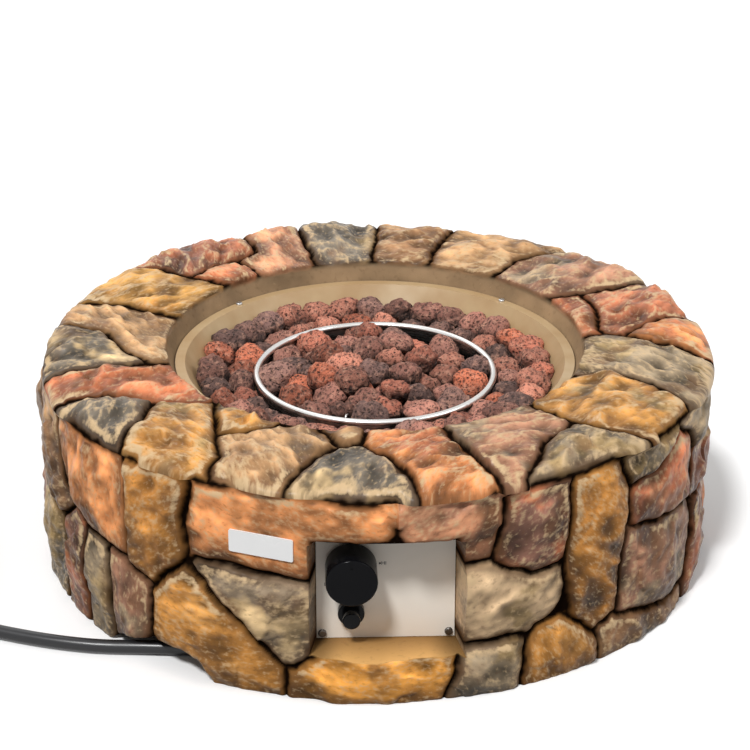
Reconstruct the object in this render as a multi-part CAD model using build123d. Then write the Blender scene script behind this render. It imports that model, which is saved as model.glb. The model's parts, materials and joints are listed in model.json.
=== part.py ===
from build123d import *
import math
import os
import random

# Round propane fire pit: a cast stone-look shell, a steel bowl with a burner and lava rocks, a control
# niche with a gas knob and an igniter, and a gas hose with its regulator.
# Millimetres, +Z up. The origin is on the ground under the centre, and the controls face -Y.
# Angles round the shell are degrees from the front, positive towards +X.

# Overall sizes
SHELL_RADIUS = 355.6
SHELL_HEIGHT = 236.0
WELL_SHARE = 0.61
WELL_RADIUS = SHELL_RADIUS * WELL_SHARE
OVERRUN = 20.0

# Stone shell
STONE_STAND = 16.0
RIM_STONE_STAND = 15.0
SHELL_WALL = 11.0
STONE_ROOT = 2.0
RIM_CORNER = 14.0
RIM_SLAB = 14.0
RIM_OVERHANG = 9.6
WELL_LIP = 3.0
WELL_SLOPE = 7.5
WELL_FOOT_RADIUS = WELL_RADIUS - WELL_SLOPE
LEDGE_WIDTH = 8.5
LEDGE_RADIUS = WELL_FOOT_RADIUS - LEDGE_WIDTH
LEDGE_THICKNESS = 12.0
LEDGE_COLLAR = 12.0
WELL_DEPTH = 31.0
BOWL_SEAT_HEIGHT = SHELL_HEIGHT - WELL_DEPTH
RIM_STEP_ANGLE = 7.0
STONE_SECTION_SHARES = ((0.0, 1.0), (0.55, 0.97), (1.0, 0.84))
FACE_SHARES = (0.999, 0.988, 0.994, 0.984, 0.997)
RIM_LIFT_SHARES = (1.0, 0.8, 0.92, 0.72, 0.86)

# Control niche and hose notch
NICHE_BACK_WIDTH = 133.0
NICHE_DRAFT = 8.5
NICHE_WIDTH = NICHE_BACK_WIDTH + 2 * NICHE_DRAFT
NICHE_EDGE = 5.6
NICHE_MOUTH = SHELL_RADIUS - NICHE_EDGE
NICHE_FLOOR_SHARE = 0.2
NICHE_FLOOR = SHELL_HEIGHT * NICHE_FLOOR_SHARE
NICHE_HEIGHT = 122.0
NICHE_TOP = NICHE_FLOOR + NICHE_HEIGHT
NICHE_WALL = 8.0
LIP_DEPTH = 9.0
LIP_WIDTH = 14.0
NOTCH_CORNERS = ((-170.0, 0.0), (-183.0, 22.0), (-204.0, 25.0), (-233.0, 25.0), (-262.0, 15.6), (-277.5, 0.0))
NOTCH_INNER_SHARE = 0.8

# Control panel
PANEL_SETBACK = 50.6
PANEL_DISTANCE = SHELL_RADIUS - PANEL_SETBACK
PANEL_THICKNESS = 1.5
PANEL_GAP = 0.5
SCREW_INSET = 6.0
SCREW_RADIUS = 2.0
SCREW_HEAD_RADIUS = 4.0
SCREW_HEAD_HEIGHT = 2.2
SCREW_LENGTH = 8.0
SCREW_CLEARANCE = 0.1
HOLE_CLEARANCE = 0.2

# Gas valve
CONTROL_X = -33.0
IGNITER_RISE = 30.0
CONTROL_SPACING = 51.0
IGNITER_HEIGHT = NICHE_FLOOR + IGNITER_RISE
VALVE_HEIGHT = IGNITER_HEIGHT + CONTROL_SPACING
NECK_RADIUS = 9.0
NECK_LENGTH = 4.5
CAP_FLANGE = 3.0
VALVE_WIDTH = 26.0
VALVE_LENGTH = 37.0
CHAMBER_RADIUS = 7.5
CHAMBER_DEPTH = 10.5
PLUG_RADIUS = 7.0
PLUG_LENGTH = 21.5
PLUG_PLAY = 0.04
PLUG_END_GAP = 0.2
SOCKET_DEPTH = 11.5
STEM_RADIUS = 4.0
STEM_FLAT = 1.2
STEM_PLAY = 0.08
STEM_ENGAGE = 6.5
COLLAR_RADIUS = 6.6
COLLAR_LENGTH = 2.0
COLLAR_GAP = 0.1
GAS_BORE_RADIUS = 2.5
PORT_RADIUS = 7.0
PORT_LENGTH = 7.0
PORT_PLACE = 6.5
VALVE_NUT_FLATS = 24.0
VALVE_NUT_LENGTH = 3.5
SPRING_GAP = 0.15
VALVE_SPRING_RADIUS = 5.3
VALVE_SPRING_WIRE = 0.5
VALVE_SPRING_TURNS = 3

# Knob
KNOB_RADIUS = 24.5
KNOB_PROUD = 40.0
KNOB_FRONT = -PANEL_DISTANCE - KNOB_PROUD
KNOB_STANDOFF = 5.2
KNOB_EDGE = 2.5
KNOB_HOLLOW_RADIUS = 17.0
KNOB_HOLLOW_DEPTH = 9.0
KNOB_BORE_DEPTH = 16.0
STEM_TIP_GAP = 0.3
POINTER_WIDTH = 2.4
POINTER_LENGTH = 9.0
POINTER_DEPTH = 0.8
SET_SCREW_RADIUS = 2.0
SET_SCREW_LENGTH = 7.0
SET_SCREW_PLACE = 5.0

# Igniter
BEZEL_RADIUS = 12.75
BEZEL_LENGTH = 8.0
BEZEL_EDGE = 1.2
BARREL_RADIUS = 10.0
BARREL_LENGTH = 47.0
BUTTON_RADIUS = 8.5
BUTTON_PLAY = 0.06
BUTTON_PROUD = 22.0
BUTTON_LENGTH = 35.0
BUTTON_EDGE = 1.6
PIEZO_LENGTH = 12.0
IGNITER_NUT_FLATS = 27.0
IGNITER_NUT_LENGTH = 5.0
IGNITER_SPRING_RADIUS = 5.5
IGNITER_SPRING_WIRE = 0.6
IGNITER_SPRING_TURNS = 5
TERMINAL_RADIUS = 1.5
TERMINAL_LENGTH = 14.0
TERMINAL_SEAT = 6.0

# Bowl
BOWL_SHEET = 1.5
BOWL_FLANGE_GAP = 0.7
BOWL_FLANGE_RADIUS = WELL_FOOT_RADIUS - BOWL_FLANGE_GAP
BOWL_MOUTH_GAP = 2.4
BOWL_MOUTH_RADIUS = LEDGE_RADIUS - BOWL_MOUTH_GAP
BOWL_SLOPE = 27.6
BOWL_FLOOR_RADIUS = BOWL_MOUTH_RADIUS - BOWL_SLOPE
BOWL_DEPTH = 45.0
BOWL_FLOOR_HEIGHT = BOWL_SEAT_HEIGHT - BOWL_DEPTH
BOWL_SLOPE_SHEET = 1.8
BOWL_SCREW_COUNT = 4
BOWL_SCREW_START = 45.0
BOWL_SCREW_HEAD_RADIUS = 3.5

# Burner
PAN_SHARE = 0.731
PAN_RADIUS = BOWL_FLOOR_RADIUS * PAN_SHARE
PAN_SHEET = 1.2
PAN_HEIGHT = 32.0
PAN_BEAD_RADIUS = 3.5
RING_SHARE = 0.64
RING_RADIUS = PAN_RADIUS * RING_SHARE
RING_TUBE_RADIUS = 6.5
RING_TUBE_WALL = 1.0
RING_GAP = 0.3
RING_SEAM_ANGLE = 45.0
ARM_RADIUS = 5.0
HUB_RADIUS = 13.0
HUB_HEIGHT = 15.0
HUB_WALL = 4.0
NECK_TUBE_RADIUS = 10.0
NECK_TUBE_LENGTH = 21.0
NECK_TUBE_WALL = 2.0
PORT_COUNT = 24
FLAME_PORT_RADIUS = 1.1
LOCKNUT_FLATS = 30.0
LOCKNUT_LENGTH = 6.0
VENTURI_RADIUS = 13.0
VENTURI_LENGTH = 36.0
VENTURI_GRIP = 8.0
VENTURI_THROAT_RADIUS = 7.0
AIR_HOLE_RADIUS = 4.0
ELBOW_WIDTH = 16.0
JET_PLAY = 0.2
JET_LENGTH = 12.0
ELBOW_BOSS_RADIUS = 6.0
ELBOW_BOSS_LENGTH = 9.0
FEED_RADIUS = 4.0
FEED_WALL = 1.0
FEED_BEND = 40.0
FEED_RUN = 50.0
FEED_NUT_FLATS = 14.0
FEED_NUT_LENGTH = 10.0

# Spark electrode and its lead
ELECTRODE_SHARE = 0.36
CERAMIC_RADIUS = 4.0
CERAMIC_BELOW = 24.0
CERAMIC_ABOVE = 13.0
CERAMIC_COLLAR_RADIUS = 6.5
CERAMIC_COLLAR_LENGTH = 3.0
ELECTRODE_RADIUS = 1.2
ELECTRODE_RISE = 7.0
ELECTRODE_REACH = 5.5
ELECTRODE_BEND = 2.5
ELECTRODE_NUT_RADIUS = 7.5
ELECTRODE_NUT_LENGTH = 4.0
LEAD_RADIUS = 2.0
LEAD_BEND = 30.0
LEAD_RUN = 40.0
LEAD_RISE = 30.0

# Lava rocks
ROCK_GAP = 0.25
ROCK_CORNERS = 20
ROCK_SEED = 11
INNER_ROCK_COUNT = 42
INNER_ROCK_SIZE = 23.0
MOUND_ROCK_COUNT = 11
MOUND_ROCK_SIZE = 19.0
MOUND_SHARE = 0.53
MOUND_RADIUS = PAN_RADIUS * MOUND_SHARE
MOUND_RISE = 16.0
OUTER_ROW_SHARES = (0.27, 0.76)
OUTER_ROW_COUNTS = (29, 35)
OUTER_ROCK_SIZE = 21.0
OUTER_ROW_RISE = 10.0
ROCK_SQUEEZE_SHARES = (0.86, 1.14)
ROCK_FLAT_SHARES = (0.66, 0.86)
ROCK_BED_RISE = 15.5
ROCK_PULL_SHARE = 0.01
ROCK_LEAST_SHARE = 0.06
ROCK_PERCH = 8.0
ELECTRODE_ROOM = 14.0
RING_LIMIT_STEP = 15

# Badge
BADGE_ANGLE = -19.6
BADGE_WIDTH = 65.0
BADGE_TALL = 23.0
BADGE_THICKNESS = 1.6
BADGE_CORNER = 2.0
BADGE_HEIGHT = 162.0
BADGE_STONE = 1

# Gas hose and its fittings
HOSE_RADIUS = 7.0
INLET_REACH = 9.0
INLET_DROP = 14.0
INLET_NUT_FLATS = 19.0
INLET_NUT_LENGTH = 12.0
FERRULE_RADIUS = 9.5
FERRULE_LENGTH = 22.0
FERRULE_GROOVE = 0.8
FERRULE_GROOVE_WIDTH = 2.5
FERRULE_GROOVE_SHARES = (0.3, 0.5, 0.7)
HOSE_DROP = 23.0
HOSE_LEAD = 48.0
HOSE_BEND_SHARE = 0.45
HOSE_STEPS = (
    (-9.0, 1.3, 34.0),
    (-26.5, 3.8, 16.5),
    (-49.0, 7.3, 7.1),
    (-88.0, 13.5, 7.1),
    (-130.0, 22.5, 7.1),
    (-174.0, 26.5, 7.1),
    (-218.0, 29.0, 7.1),
    (-259.0, 38.5, 7.1),
    (-299.0, 52.2, 7.1),
    (-340.0, 69.5, 7.2),
    (-384.0, 89.0, 7.6),
)
COIL_AWAY = 453.0
COIL_BACK = 225.0
COIL_FLOOR_GAP = 1.4
COIL_OUTER_RADIUS = 94.0
COIL_PITCH = 15.0
COIL_LAYER = 14.6
COIL_START_ANGLE = 244.0
COIL_END_ANGLE = 180.0
COIL_WHOLE_TURNS = 5
COIL_CLIMB_TURNS = 0.5
COIL_TAIL = 30.0
TIE_WIDTH = 12.0
TIE_BAND = 0.8
TIE_GAP = 0.4
TIE_SIDE_GAP = 0.8
TIE_CORNER = 4.0
COIL_SAMPLE = 0.0001
COIL_CHECKS = 900

# Regulator
REGULATOR_RADIUS = 31.0
REGULATOR_HEIGHT = 26.0
REGULATOR_EDGE = 2.5
REGULATOR_PORT_RADIUS = 10.0
REGULATOR_PORT_LENGTH = 9.0
BONNET_RADIUS = 25.0
BONNET_HEIGHT = 15.0
BONNET_FLANGE = 3.5
BONNET_EDGE = 5.0
BONNET_SCREW_COUNT = 6
BONNET_SCREW_RADIUS = 1.6
BONNET_SCREW_HEAD_RADIUS = 2.4
BONNET_SCREW_HEAD_HEIGHT = 1.6
BONNET_SCREW_LENGTH = 7.0
VENT_RADIUS = 1.5
NIPPLE_RADIUS = 7.0
NIPPLE_LENGTH = 46.0
NIPPLE_BORE_RADIUS = 2.5
NIPPLE_COLLAR_RADIUS = 11.0
NIPPLE_COLLAR_LENGTH = 3.0
NIPPLE_COLLAR_PLACE = 14.0
NIPPLE_NOSE = 3.0
NUT_FLOOR_GAP = 0.5
NUT_LENGTH = 40.0
NUT_BORE_RADIUS = 15.0
NUT_WEB = 5.0
NUT_PLAY = 0.06
NUT_RIB_COUNT = 10
NUT_RIB_RADIUS = 3.0
NUT_EDGE = 1.5
NUT_RIB_STAND = 1.5
NUT_GAP = 0.3

# Outlines of the stones on the wall: degrees from the front, and shares of the height
WALL_STONE_SHARES = (
    ((-45.5, 0.905), (-32.5, 0.895), (-34.0, 0.72), (-34.0, 0.58), (-36.5, 0.47), (-40.5, 0.385),
     (-45.0, 0.43)),
    ((-31.5, 0.895), (-12.6, 0.9), (-12.6, 0.56), (-25.0, 0.575), (-32.2, 0.565), (-33.0, 0.72)),
    ((-15.0, 0.9), (1.2, 0.9), (1.0, 0.718), (-15.0, 0.718)),
    ((1.9, 0.905), (17.6, 0.91), (18.0, 0.77), (1.7, 0.718)),
    ((12.4, 0.8), (17.9, 0.8), (15.8, 0.615), (12.4, 0.61)),
    ((18.8, 0.905), (30.3, 0.885), (30.0, 0.72), (28.3, 0.545), (23.0, 0.525), (17.2, 0.6), (18.8, 0.76)),
    ((12.3, 0.595), (15.6, 0.6), (18.6, 0.565), (23.0, 0.51), (28.3, 0.53), (29.2, 0.43), (26.3, 0.325),
     (21.5, 0.255), (12.3, 0.245)),
    ((31.2, 0.89), (41.2, 0.865), (42.9, 0.75), (42.3, 0.55), (41.0, 0.38), (40.3, 0.22), (36.0, 0.185),
     (32.8, 0.27), (30.3, 0.45), (30.3, 0.62)),
    ((11.8, 0.225), (21.0, 0.235), (22.2, 0.15), (21.6, 0.0), (9.0, 0.0), (11.3, 0.1)),
    ((-12.0, 0.195), (10.6, 0.195), (10.6, 0.12), (8.4, 0.0), (-15.6, 0.0), (-15.2, 0.12)),
    ((-31.3, 0.545), (-25.0, 0.555), (-12.6, 0.54), (-12.6, 0.2), (-14.5, 0.145), (-16.3, 0.155),
     (-24.0, 0.35),
     (-31.0, 0.5)),
    ((-36.3, 0.45), (-32.3, 0.485), (-24.4, 0.315), (-17.0, 0.125), (-16.4, 0.0), (-28.6, 0.0), (-31.0, 0.1),
     (-40.6, 0.12), (-40.2, 0.33)),
    ((-41.3, 0.365), (-45.3, 0.405), (-50.8, 0.44), (-49.8, 0.2), (-49.0, 0.07), (-41.3, 0.12)),
    ((-51.3, 0.44), (-57.3, 0.46), (-57.8, 0.25), (-57.5, 0.0), (-51.6, 0.0), (-50.5, 0.2)),
    ((-58.0, 0.465), (-61.0, 0.51), (-66.5, 0.4), (-66.5, 0.0), (-58.3, 0.0), (-58.5, 0.25)),
    ((-46.2, 0.9), (-46.2, 0.46), (-51.0, 0.465), (-57.0, 0.485), (-60.5, 0.54), (-65.5, 0.62), (-67.2, 0.78),
     (-66.5, 0.905)),
    ((-67.4, 0.905), (-68.0, 0.77), (-66.2, 0.6), (-62.0, 0.525), (-66.9, 0.43), (-73.0, 0.45), (-81.0, 0.5),
     (-84.0, 0.72), (-83.5, 0.905)),
    ((-67.2, 0.41), (-73.0, 0.43), (-81.5, 0.48), (-80.5, 0.2), (-80.5, 0.0), (-67.2, 0.0)),
    ((-84.2, 0.905), (-84.8, 0.72), (-82.0, 0.5), (-92.0, 0.45), (-98.0, 0.5), (-99.0, 0.9)),
    ((-81.2, 0.0), (-81.2, 0.2), (-82.3, 0.47), (-92.0, 0.43), (-97.5, 0.4), (-98.5, 0.2), (-96.0, 0.0)),
    ((42.2, 0.9), (57.8, 0.905), (57.0, 0.87), (50.0, 0.785), (43.8, 0.765), (42.2, 0.85)),
    ((44.2, 0.75), (50.0, 0.77), (58.0, 0.86), (62.8, 0.79), (64.5, 0.62), (63.0, 0.51), (52.0, 0.53),
     (44.3, 0.575)),
    ((43.2, 0.555), (52.0, 0.51), (63.0, 0.485), (65.6, 0.36), (63.0, 0.12), (55.0, 0.095), (41.8, 0.185),
     (42.2, 0.38)),
    ((22.8, 0.15), (25.5, 0.235), (28.5, 0.26), (33.0, 0.185), (36.8, 0.08), (36.8, 0.0), (22.2, 0.0)),
    ((37.4, 0.16), (40.0, 0.175), (54.0, 0.085), (62.0, 0.1), (62.5, 0.0), (37.6, 0.0)),
    ((58.6, 0.905), (79.5, 0.905), (80.5, 0.72), (66.0, 0.7), (64.0, 0.79), (59.0, 0.86)),
    ((65.3, 0.62), (66.5, 0.685), (80.8, 0.7), (84.0, 0.55), (80.0, 0.47), (66.5, 0.47), (64.0, 0.51)),
    ((66.4, 0.36), (66.0, 0.455), (80.0, 0.455), (82.5, 0.3), (80.0, 0.0), (63.5, 0.0), (64.4, 0.12)),
    ((80.3, 0.905), (99.0, 0.9), (101.0, 0.66), (92.0, 0.6), (84.6, 0.56), (81.4, 0.71)),
    ((84.4, 0.54), (92.0, 0.585), (101.5, 0.63), (104.0, 0.42), (97.0, 0.3), (83.4, 0.31), (80.8, 0.46)),
    ((83.2, 0.295), (97.0, 0.285), (100.0, 0.0), (80.8, 0.0)),
    ((99.8, 0.9), (117.0, 0.905), (119.0, 0.7), (111.0, 0.56), (102.2, 0.64)),
    ((104.6, 0.42), (102.4, 0.62), (111.0, 0.545), (119.0, 0.53), (121.5, 0.28), (110.0, 0.22), (98.3, 0.29)),
    ((98.0, 0.275), (110.0, 0.205), (121.0, 0.26), (122.0, 0.0), (100.8, 0.0)),
    ((117.8, 0.905), (136.0, 0.9), (134.5, 0.66), (128.0, 0.6), (119.8, 0.7)),
    ((119.6, 0.685), (128.0, 0.585), (134.5, 0.64), (139.0, 0.4), (131.0, 0.28), (122.2, 0.29),
     (119.8, 0.53)),
    ((122.6, 0.275), (131.0, 0.265), (140.0, 0.33), (142.0, 0.0), (122.8, 0.0)),
    ((136.8, 0.9), (156.0, 0.905), (157.0, 0.62), (147.0, 0.56), (137.6, 0.54), (135.3, 0.66)),
    ((139.8, 0.41), (137.9, 0.525), (147.0, 0.545), (157.0, 0.6), (160.0, 0.36), (152.0, 0.22), (141.0, 0.3)),
    ((140.8, 0.29), (152.0, 0.205), (161.0, 0.25), (162.0, 0.0), (142.8, 0.0)),
    ((156.8, 0.905), (177.0, 0.9), (179.0, 0.66), (168.0, 0.6), (158.0, 0.63)),
    ((157.8, 0.6), (168.0, 0.585), (179.0, 0.645), (183.0, 0.42), (174.0, 0.3), (161.2, 0.27), (160.8, 0.36)),
    ((161.8, 0.24), (174.0, 0.285), (184.0, 0.26), (184.5, 0.0), (162.8, 0.0)),
    ((177.8, 0.9), (197.0, 0.905), (199.5, 0.6), (190.0, 0.53), (183.4, 0.44), (179.8, 0.66)),
    ((183.9, 0.42), (190.0, 0.515), (199.5, 0.585), (206.0, 0.33), (196.0, 0.2), (184.8, 0.27)),
    ((185.3, 0.0), (184.8, 0.255), (196.0, 0.185), (206.0, 0.24), (208.0, 0.0)),
    ((197.8, 0.905), (218.0, 0.9), (220.0, 0.7), (209.0, 0.55), (200.3, 0.6)),
    ((206.8, 0.33), (200.5, 0.585), (209.0, 0.535), (220.0, 0.56), (225.0, 0.36), (216.0, 0.26),
     (206.8, 0.25)),
    ((208.8, 0.0), (206.9, 0.235), (216.0, 0.245), (227.0, 0.22), (228.0, 0.0)),
    ((218.8, 0.9), (240.0, 0.905), (239.0, 0.66), (229.0, 0.58), (220.8, 0.6), (220.8, 0.7)),
    ((220.8, 0.585), (229.0, 0.565), (239.0, 0.64), (246.0, 0.42), (238.0, 0.28), (227.8, 0.24),
     (225.8, 0.36)),
    ((228.8, 0.0), (227.8, 0.225), (238.0, 0.265), (247.0, 0.33), (248.0, 0.0)),
    ((240.8, 0.905), (260.3, 0.9), (261.2, 0.5), (250.0, 0.52), (246.5, 0.44), (239.8, 0.66)),
    ((246.8, 0.42), (250.0, 0.5), (261.2, 0.48), (261.0, 0.2), (263.2, 0.0), (248.8, 0.0), (247.8, 0.33)),
)

# Outlines of the stones on the rim: degrees from the front, and shares of the rim's width from its inner edge
RIM_STONE_SHARES = (
    ((-15.2, 1.0), (4.0, 1.0), (2.7, 0.75), (-0.3, 0.5), (-5.2, 0.3), (-13.0, 0.64)),
    ((-28.3, 1.0), (-16.2, 1.0), (-14.2, 0.6), (-12.0, 0.28), (-12.6, 0.12), (-20.0, 0.05), (-28.6, 0.22),
     (-34.2, 0.48), (-29.5, 0.78)),
    ((-45.0, 0.02), (-28.0, 0.02), (-29.2, 0.19), (-35.0, 0.43), (-40.0, 0.26)),
    ((-13.5, 0.02), (-5.0, 0.02), (-5.5, 0.22), (-11.2, 0.25)),
    ((-46.2, 1.0), (-29.2, 1.0), (-30.3, 0.79), (-35.5, 0.5), (-40.5, 0.29), (-47.0, 0.1), (-54.5, 0.42),
     (-50.4, 0.68)),
    ((-66.3, 1.0), (-47.0, 1.0), (-51.0, 0.7), (-56.0, 0.46), (-64.0, 0.72)),
    ((-76.0, 1.0), (-67.3, 1.0), (-64.6, 0.69), (-56.4, 0.41), (-49.0, 0.1), (-51.0, 0.02), (-75.0, 0.02),
     (-76.8, 0.6)),
    ((-100.0, 1.0), (-78.0, 1.0), (-77.4, 0.6), (-78.4, 0.23), (-93.4, 0.54)),
    ((-108.5, 1.0), (-101.3, 1.0), (-94.4, 0.51), (-78.6, 0.17), (-76.2, 0.02), (-106.5, 0.02),
     (-110.0, 0.5)),
    ((-126.5, 1.0), (-109.6, 1.0), (-111.0, 0.53), (-107.8, 0.02), (-133.0, 0.02), (-131.6, 0.3),
     (-130.4, 0.7)),
    ((-154.0, 1.0), (-128.0, 1.0), (-131.0, 0.75), (-132.2, 0.42), (-146.0, 0.42), (-152.5, 0.5)),
    ((-146.0, 0.02), (-134.0, 0.02), (-132.8, 0.38), (-146.0, 0.38)),
    ((-166.0, 1.0), (-155.0, 1.0), (-153.3, 0.46), (-147.0, 0.36), (-147.0, 0.02), (-164.0, 0.02)),
    ((-182.0, 1.0), (-167.0, 1.0), (-165.0, 0.02), (-181.0, 0.02)),
    ((162.6, 1.0), (177.0, 1.0), (178.0, 0.02), (163.0, 0.02)),
    ((137.0, 1.0), (161.5, 1.0), (162.4, 0.5), (162.0, 0.02), (142.0, 0.02), (143.0, 0.45), (139.0, 0.8)),
    ((117.0, 1.0), (136.0, 1.0), (138.0, 0.78), (141.8, 0.42), (140.8, 0.02), (119.0, 0.02), (117.0, 0.3),
     (116.6, 0.7)),
    ((90.5, 0.02), (118.0, 0.02), (116.0, 0.29), (108.0, 0.24), (93.0, 0.12)),
    ((100.0, 1.0), (115.8, 1.0), (115.6, 0.7), (115.4, 0.33), (107.6, 0.28), (94.0, 0.17), (91.0, 0.36),
     (97.0, 0.6)),
    ((82.2, 1.0), (98.7, 1.0), (95.8, 0.62), (90.2, 0.41), (87.0, 0.6)),
    ((62.8, 1.0), (81.0, 1.0), (85.8, 0.58), (89.3, 0.36), (88.5, 0.02), (64.5, 0.02), (69.0, 0.3),
     (67.0, 0.6)),
    ((48.0, 1.0), (61.5, 1.0), (65.8, 0.6), (67.8, 0.3), (63.0, 0.02), (42.0, 0.05), (43.0, 0.5),
     (45.0, 0.78)),
    ((22.8, 1.0), (46.6, 1.0), (44.2, 0.82), (41.6, 0.54), (31.0, 0.68)),
    ((18.3, 1.0), (21.6, 1.0), (30.2, 0.64), (41.5, 0.46), (41.0, 0.03), (16.5, 0.03), (16.3, 0.22),
     (17.2, 0.6)),
    ((5.2, 1.0), (17.2, 1.0), (16.2, 0.6), (15.3, 0.24), (13.2, 0.02), (-4.0, 0.02), (-4.4, 0.24),
     (0.6, 0.47),
     (3.7, 0.74)),
)

# Places worked out from the sizes above
CORE_RADIUS = SHELL_RADIUS - STONE_STAND
CORE_INNER_RADIUS = CORE_RADIUS - SHELL_WALL
CORE_TOP = SHELL_HEIGHT - RIM_STONE_STAND
PANEL_FRONT = -PANEL_DISTANCE
PANEL_BACK = PANEL_FRONT + PANEL_THICKNESS
LIP_BACK = PANEL_BACK + LIP_DEPTH
CAP_BACK = PANEL_BACK + CAP_FLANGE
PLUG_FRONT = CAP_BACK + CHAMBER_DEPTH
PLUG_BACK = PLUG_FRONT + PLUG_LENGTH
VALVE_BACK = CAP_BACK + VALVE_LENGTH
KNOB_BACK = PANEL_FRONT - KNOB_STANDOFF
KNOB_BORE_FRONT = KNOB_BACK - KNOB_HOLLOW_DEPTH - KNOB_BORE_DEPTH
PAN_FLOOR_TOP = BOWL_FLOOR_HEIGHT + PAN_SHEET
RING_HEIGHT = PAN_FLOOR_TOP + RING_GAP + RING_TUBE_RADIUS
PAN_TOP = BOWL_FLOOR_HEIGHT + PAN_HEIGHT
HUB_TOP = PAN_FLOOR_TOP + HUB_HEIGHT
NECK_FOOT = PAN_FLOOR_TOP - NECK_TUBE_LENGTH
VENTURI_TOP = NECK_FOOT + VENTURI_GRIP
VENTURI_FOOT = VENTURI_TOP - VENTURI_LENGTH
FEED_HEIGHT = VENTURI_FOOT - ELBOW_WIDTH / 2
ELECTRODE_ROOM_LOW = RING_RADIUS + RING_TUBE_RADIUS
ELECTRODE_ROOM_HIGH = PAN_RADIUS - PAN_SHEET - PAN_BEAD_RADIUS
ELECTRODE_DISTANCE = ELECTRODE_ROOM_LOW + (ELECTRODE_ROOM_HIGH - ELECTRODE_ROOM_LOW) * ELECTRODE_SHARE
ELECTRODE_Y = -math.sqrt(ELECTRODE_DISTANCE ** 2 - CONTROL_X ** 2)
INLET_Y = PLUG_BACK - PORT_PLACE
INLET_X = CONTROL_X - VALVE_WIDTH / 2 - PORT_LENGTH - INLET_REACH
INLET_FOOT = VALVE_HEIGHT - INLET_DROP
FERRULE_TOP = INLET_FOOT - INLET_NUT_LENGTH
BUTTON_FRONT = PANEL_FRONT - BUTTON_PROUD
BUTTON_BACK = BUTTON_FRONT + BUTTON_LENGTH
BARREL_BACK = PANEL_FRONT + BARREL_LENGTH
PIEZO_FRONT = BARREL_BACK - PIEZO_LENGTH
COIL_X = INLET_X - COIL_AWAY
COIL_Y = INLET_Y + COIL_BACK
COIL_LEAN = math.degrees(math.atan2(COIL_PITCH, 2 * math.pi * COIL_OUTER_RADIUS))
COIL_TURNS = COIL_WHOLE_TURNS + (COIL_START_ANGLE - COIL_END_ANGLE + COIL_LEAN) / 360
COIL_INNER_RADIUS = COIL_OUTER_RADIUS - COIL_PITCH * COIL_TURNS / 2
COIL_HEIGHT = HOSE_RADIUS + COIL_FLOOR_GAP
COIL_TOP = COIL_HEIGHT + COIL_LAYER
REGULATOR_X = COIL_X - COIL_OUTER_RADIUS * math.cos(math.radians(COIL_LEAN))
REGULATOR_Y = COIL_Y + COIL_OUTER_RADIUS * math.sin(math.radians(COIL_LEAN)) + COIL_TAIL
BODY_Y = REGULATOR_Y + FERRULE_LENGTH + REGULATOR_PORT_LENGTH + REGULATOR_RADIUS
NIPPLE_Y = BODY_Y + REGULATOR_RADIUS + REGULATOR_PORT_LENGTH
NUT_RADIUS = COIL_TOP - NUT_FLOOR_GAP


# Helpers


def around(angle, radius, height):
    """Point at an angle from the front, a radius from the centre line and a height."""
    turn = math.radians(angle)
    return Vector(radius * math.sin(turn), -radius * math.cos(turn), height)


def sideways(angle):
    """Level direction along the shell's wall at an angle from the front."""
    turn = math.radians(angle)
    return Vector(math.cos(turn), math.sin(turn), 0)


def turned(*points):
    """Solid turned about Z from (radius, height) points."""
    outline = Polyline(*[(radius, 0, height) for radius, height in points], close=True)
    return revolve(make_face(outline), Axis.Z)


def rod(start, end, radius):
    """Round bar between two points."""
    start, end = Vector(start), Vector(end)
    return Solid.make_cylinder(radius, (end - start).length, Plane(origin=start, z_dir=end - start))


def hexagon(start, end, flats):
    """Six-sided bar between two points, with a size across its flats."""
    start, end = Vector(start), Vector(end)
    outline = RegularPolygon(radius=flats / 2, side_count=6, major_radius=False)
    return Plane(origin=start, z_dir=end - start) * extrude(outline, (end - start).length)


def block(low, high):
    """Box between two corners."""
    low, high = Vector(low), Vector(high)
    size = high - low
    return Pos(*((low + high) * 0.5)) * Box(size.X, size.Y, size.Z)


def joined(shapes):
    """One shape from several that touch."""
    first, *others = shapes
    return first.fuse(*others)


def without(shape, *tools):
    """A shape with several others cut away."""
    return shape.cut(*tools)


def on_valve(y):
    """Point on the gas valve's axis."""
    return Vector(CONTROL_X, y, VALVE_HEIGHT)


def on_igniter(y):
    """Point on the igniter's axis."""
    return Vector(CONTROL_X, y, IGNITER_HEIGHT)


def rounded(shape, axis, last, radius):
    """A shape with the edge at one end along an axis rounded."""
    edge = shape.edges().sort_by(axis)[-1 if last else 0]
    return fillet(edge, radius)


def shrunk(points, share):
    """Flat points drawn in towards their middle."""
    middle = [sum(axis) / len(points) for axis in zip(*points)]
    return [tuple(m + (p - m) * share for p, m in zip(point, middle)) for point in points]


def biarc_path(points, directions):
    """Path of tangent arcs through points with their directions, two arcs to a step."""
    edges = []
    for start, end, leave, arrive in zip(points, points[1:], directions, directions[1:]):
        chord = end - start
        along = chord.dot(leave + arrive)
        spread = 2 * (1 - leave.dot(arrive))
        reach = (math.sqrt(along * along + spread * chord.dot(chord)) - along) / spread
        first, second = start + leave * reach, end - arrive * reach
        meeting = (first + second) * 0.5
        edges.append(TangentArc(start, meeting, tangent=leave))
        edges.append(TangentArc(meeting, end, tangent=second - first))
    return edges


def tube_along(edges, radius):
    """Round tube swept along a path."""
    path = Wire(edges)
    section = Plane(origin=path @ 0, z_dir=path % 0) * Circle(radius)
    return sweep(section, path=path)


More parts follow.
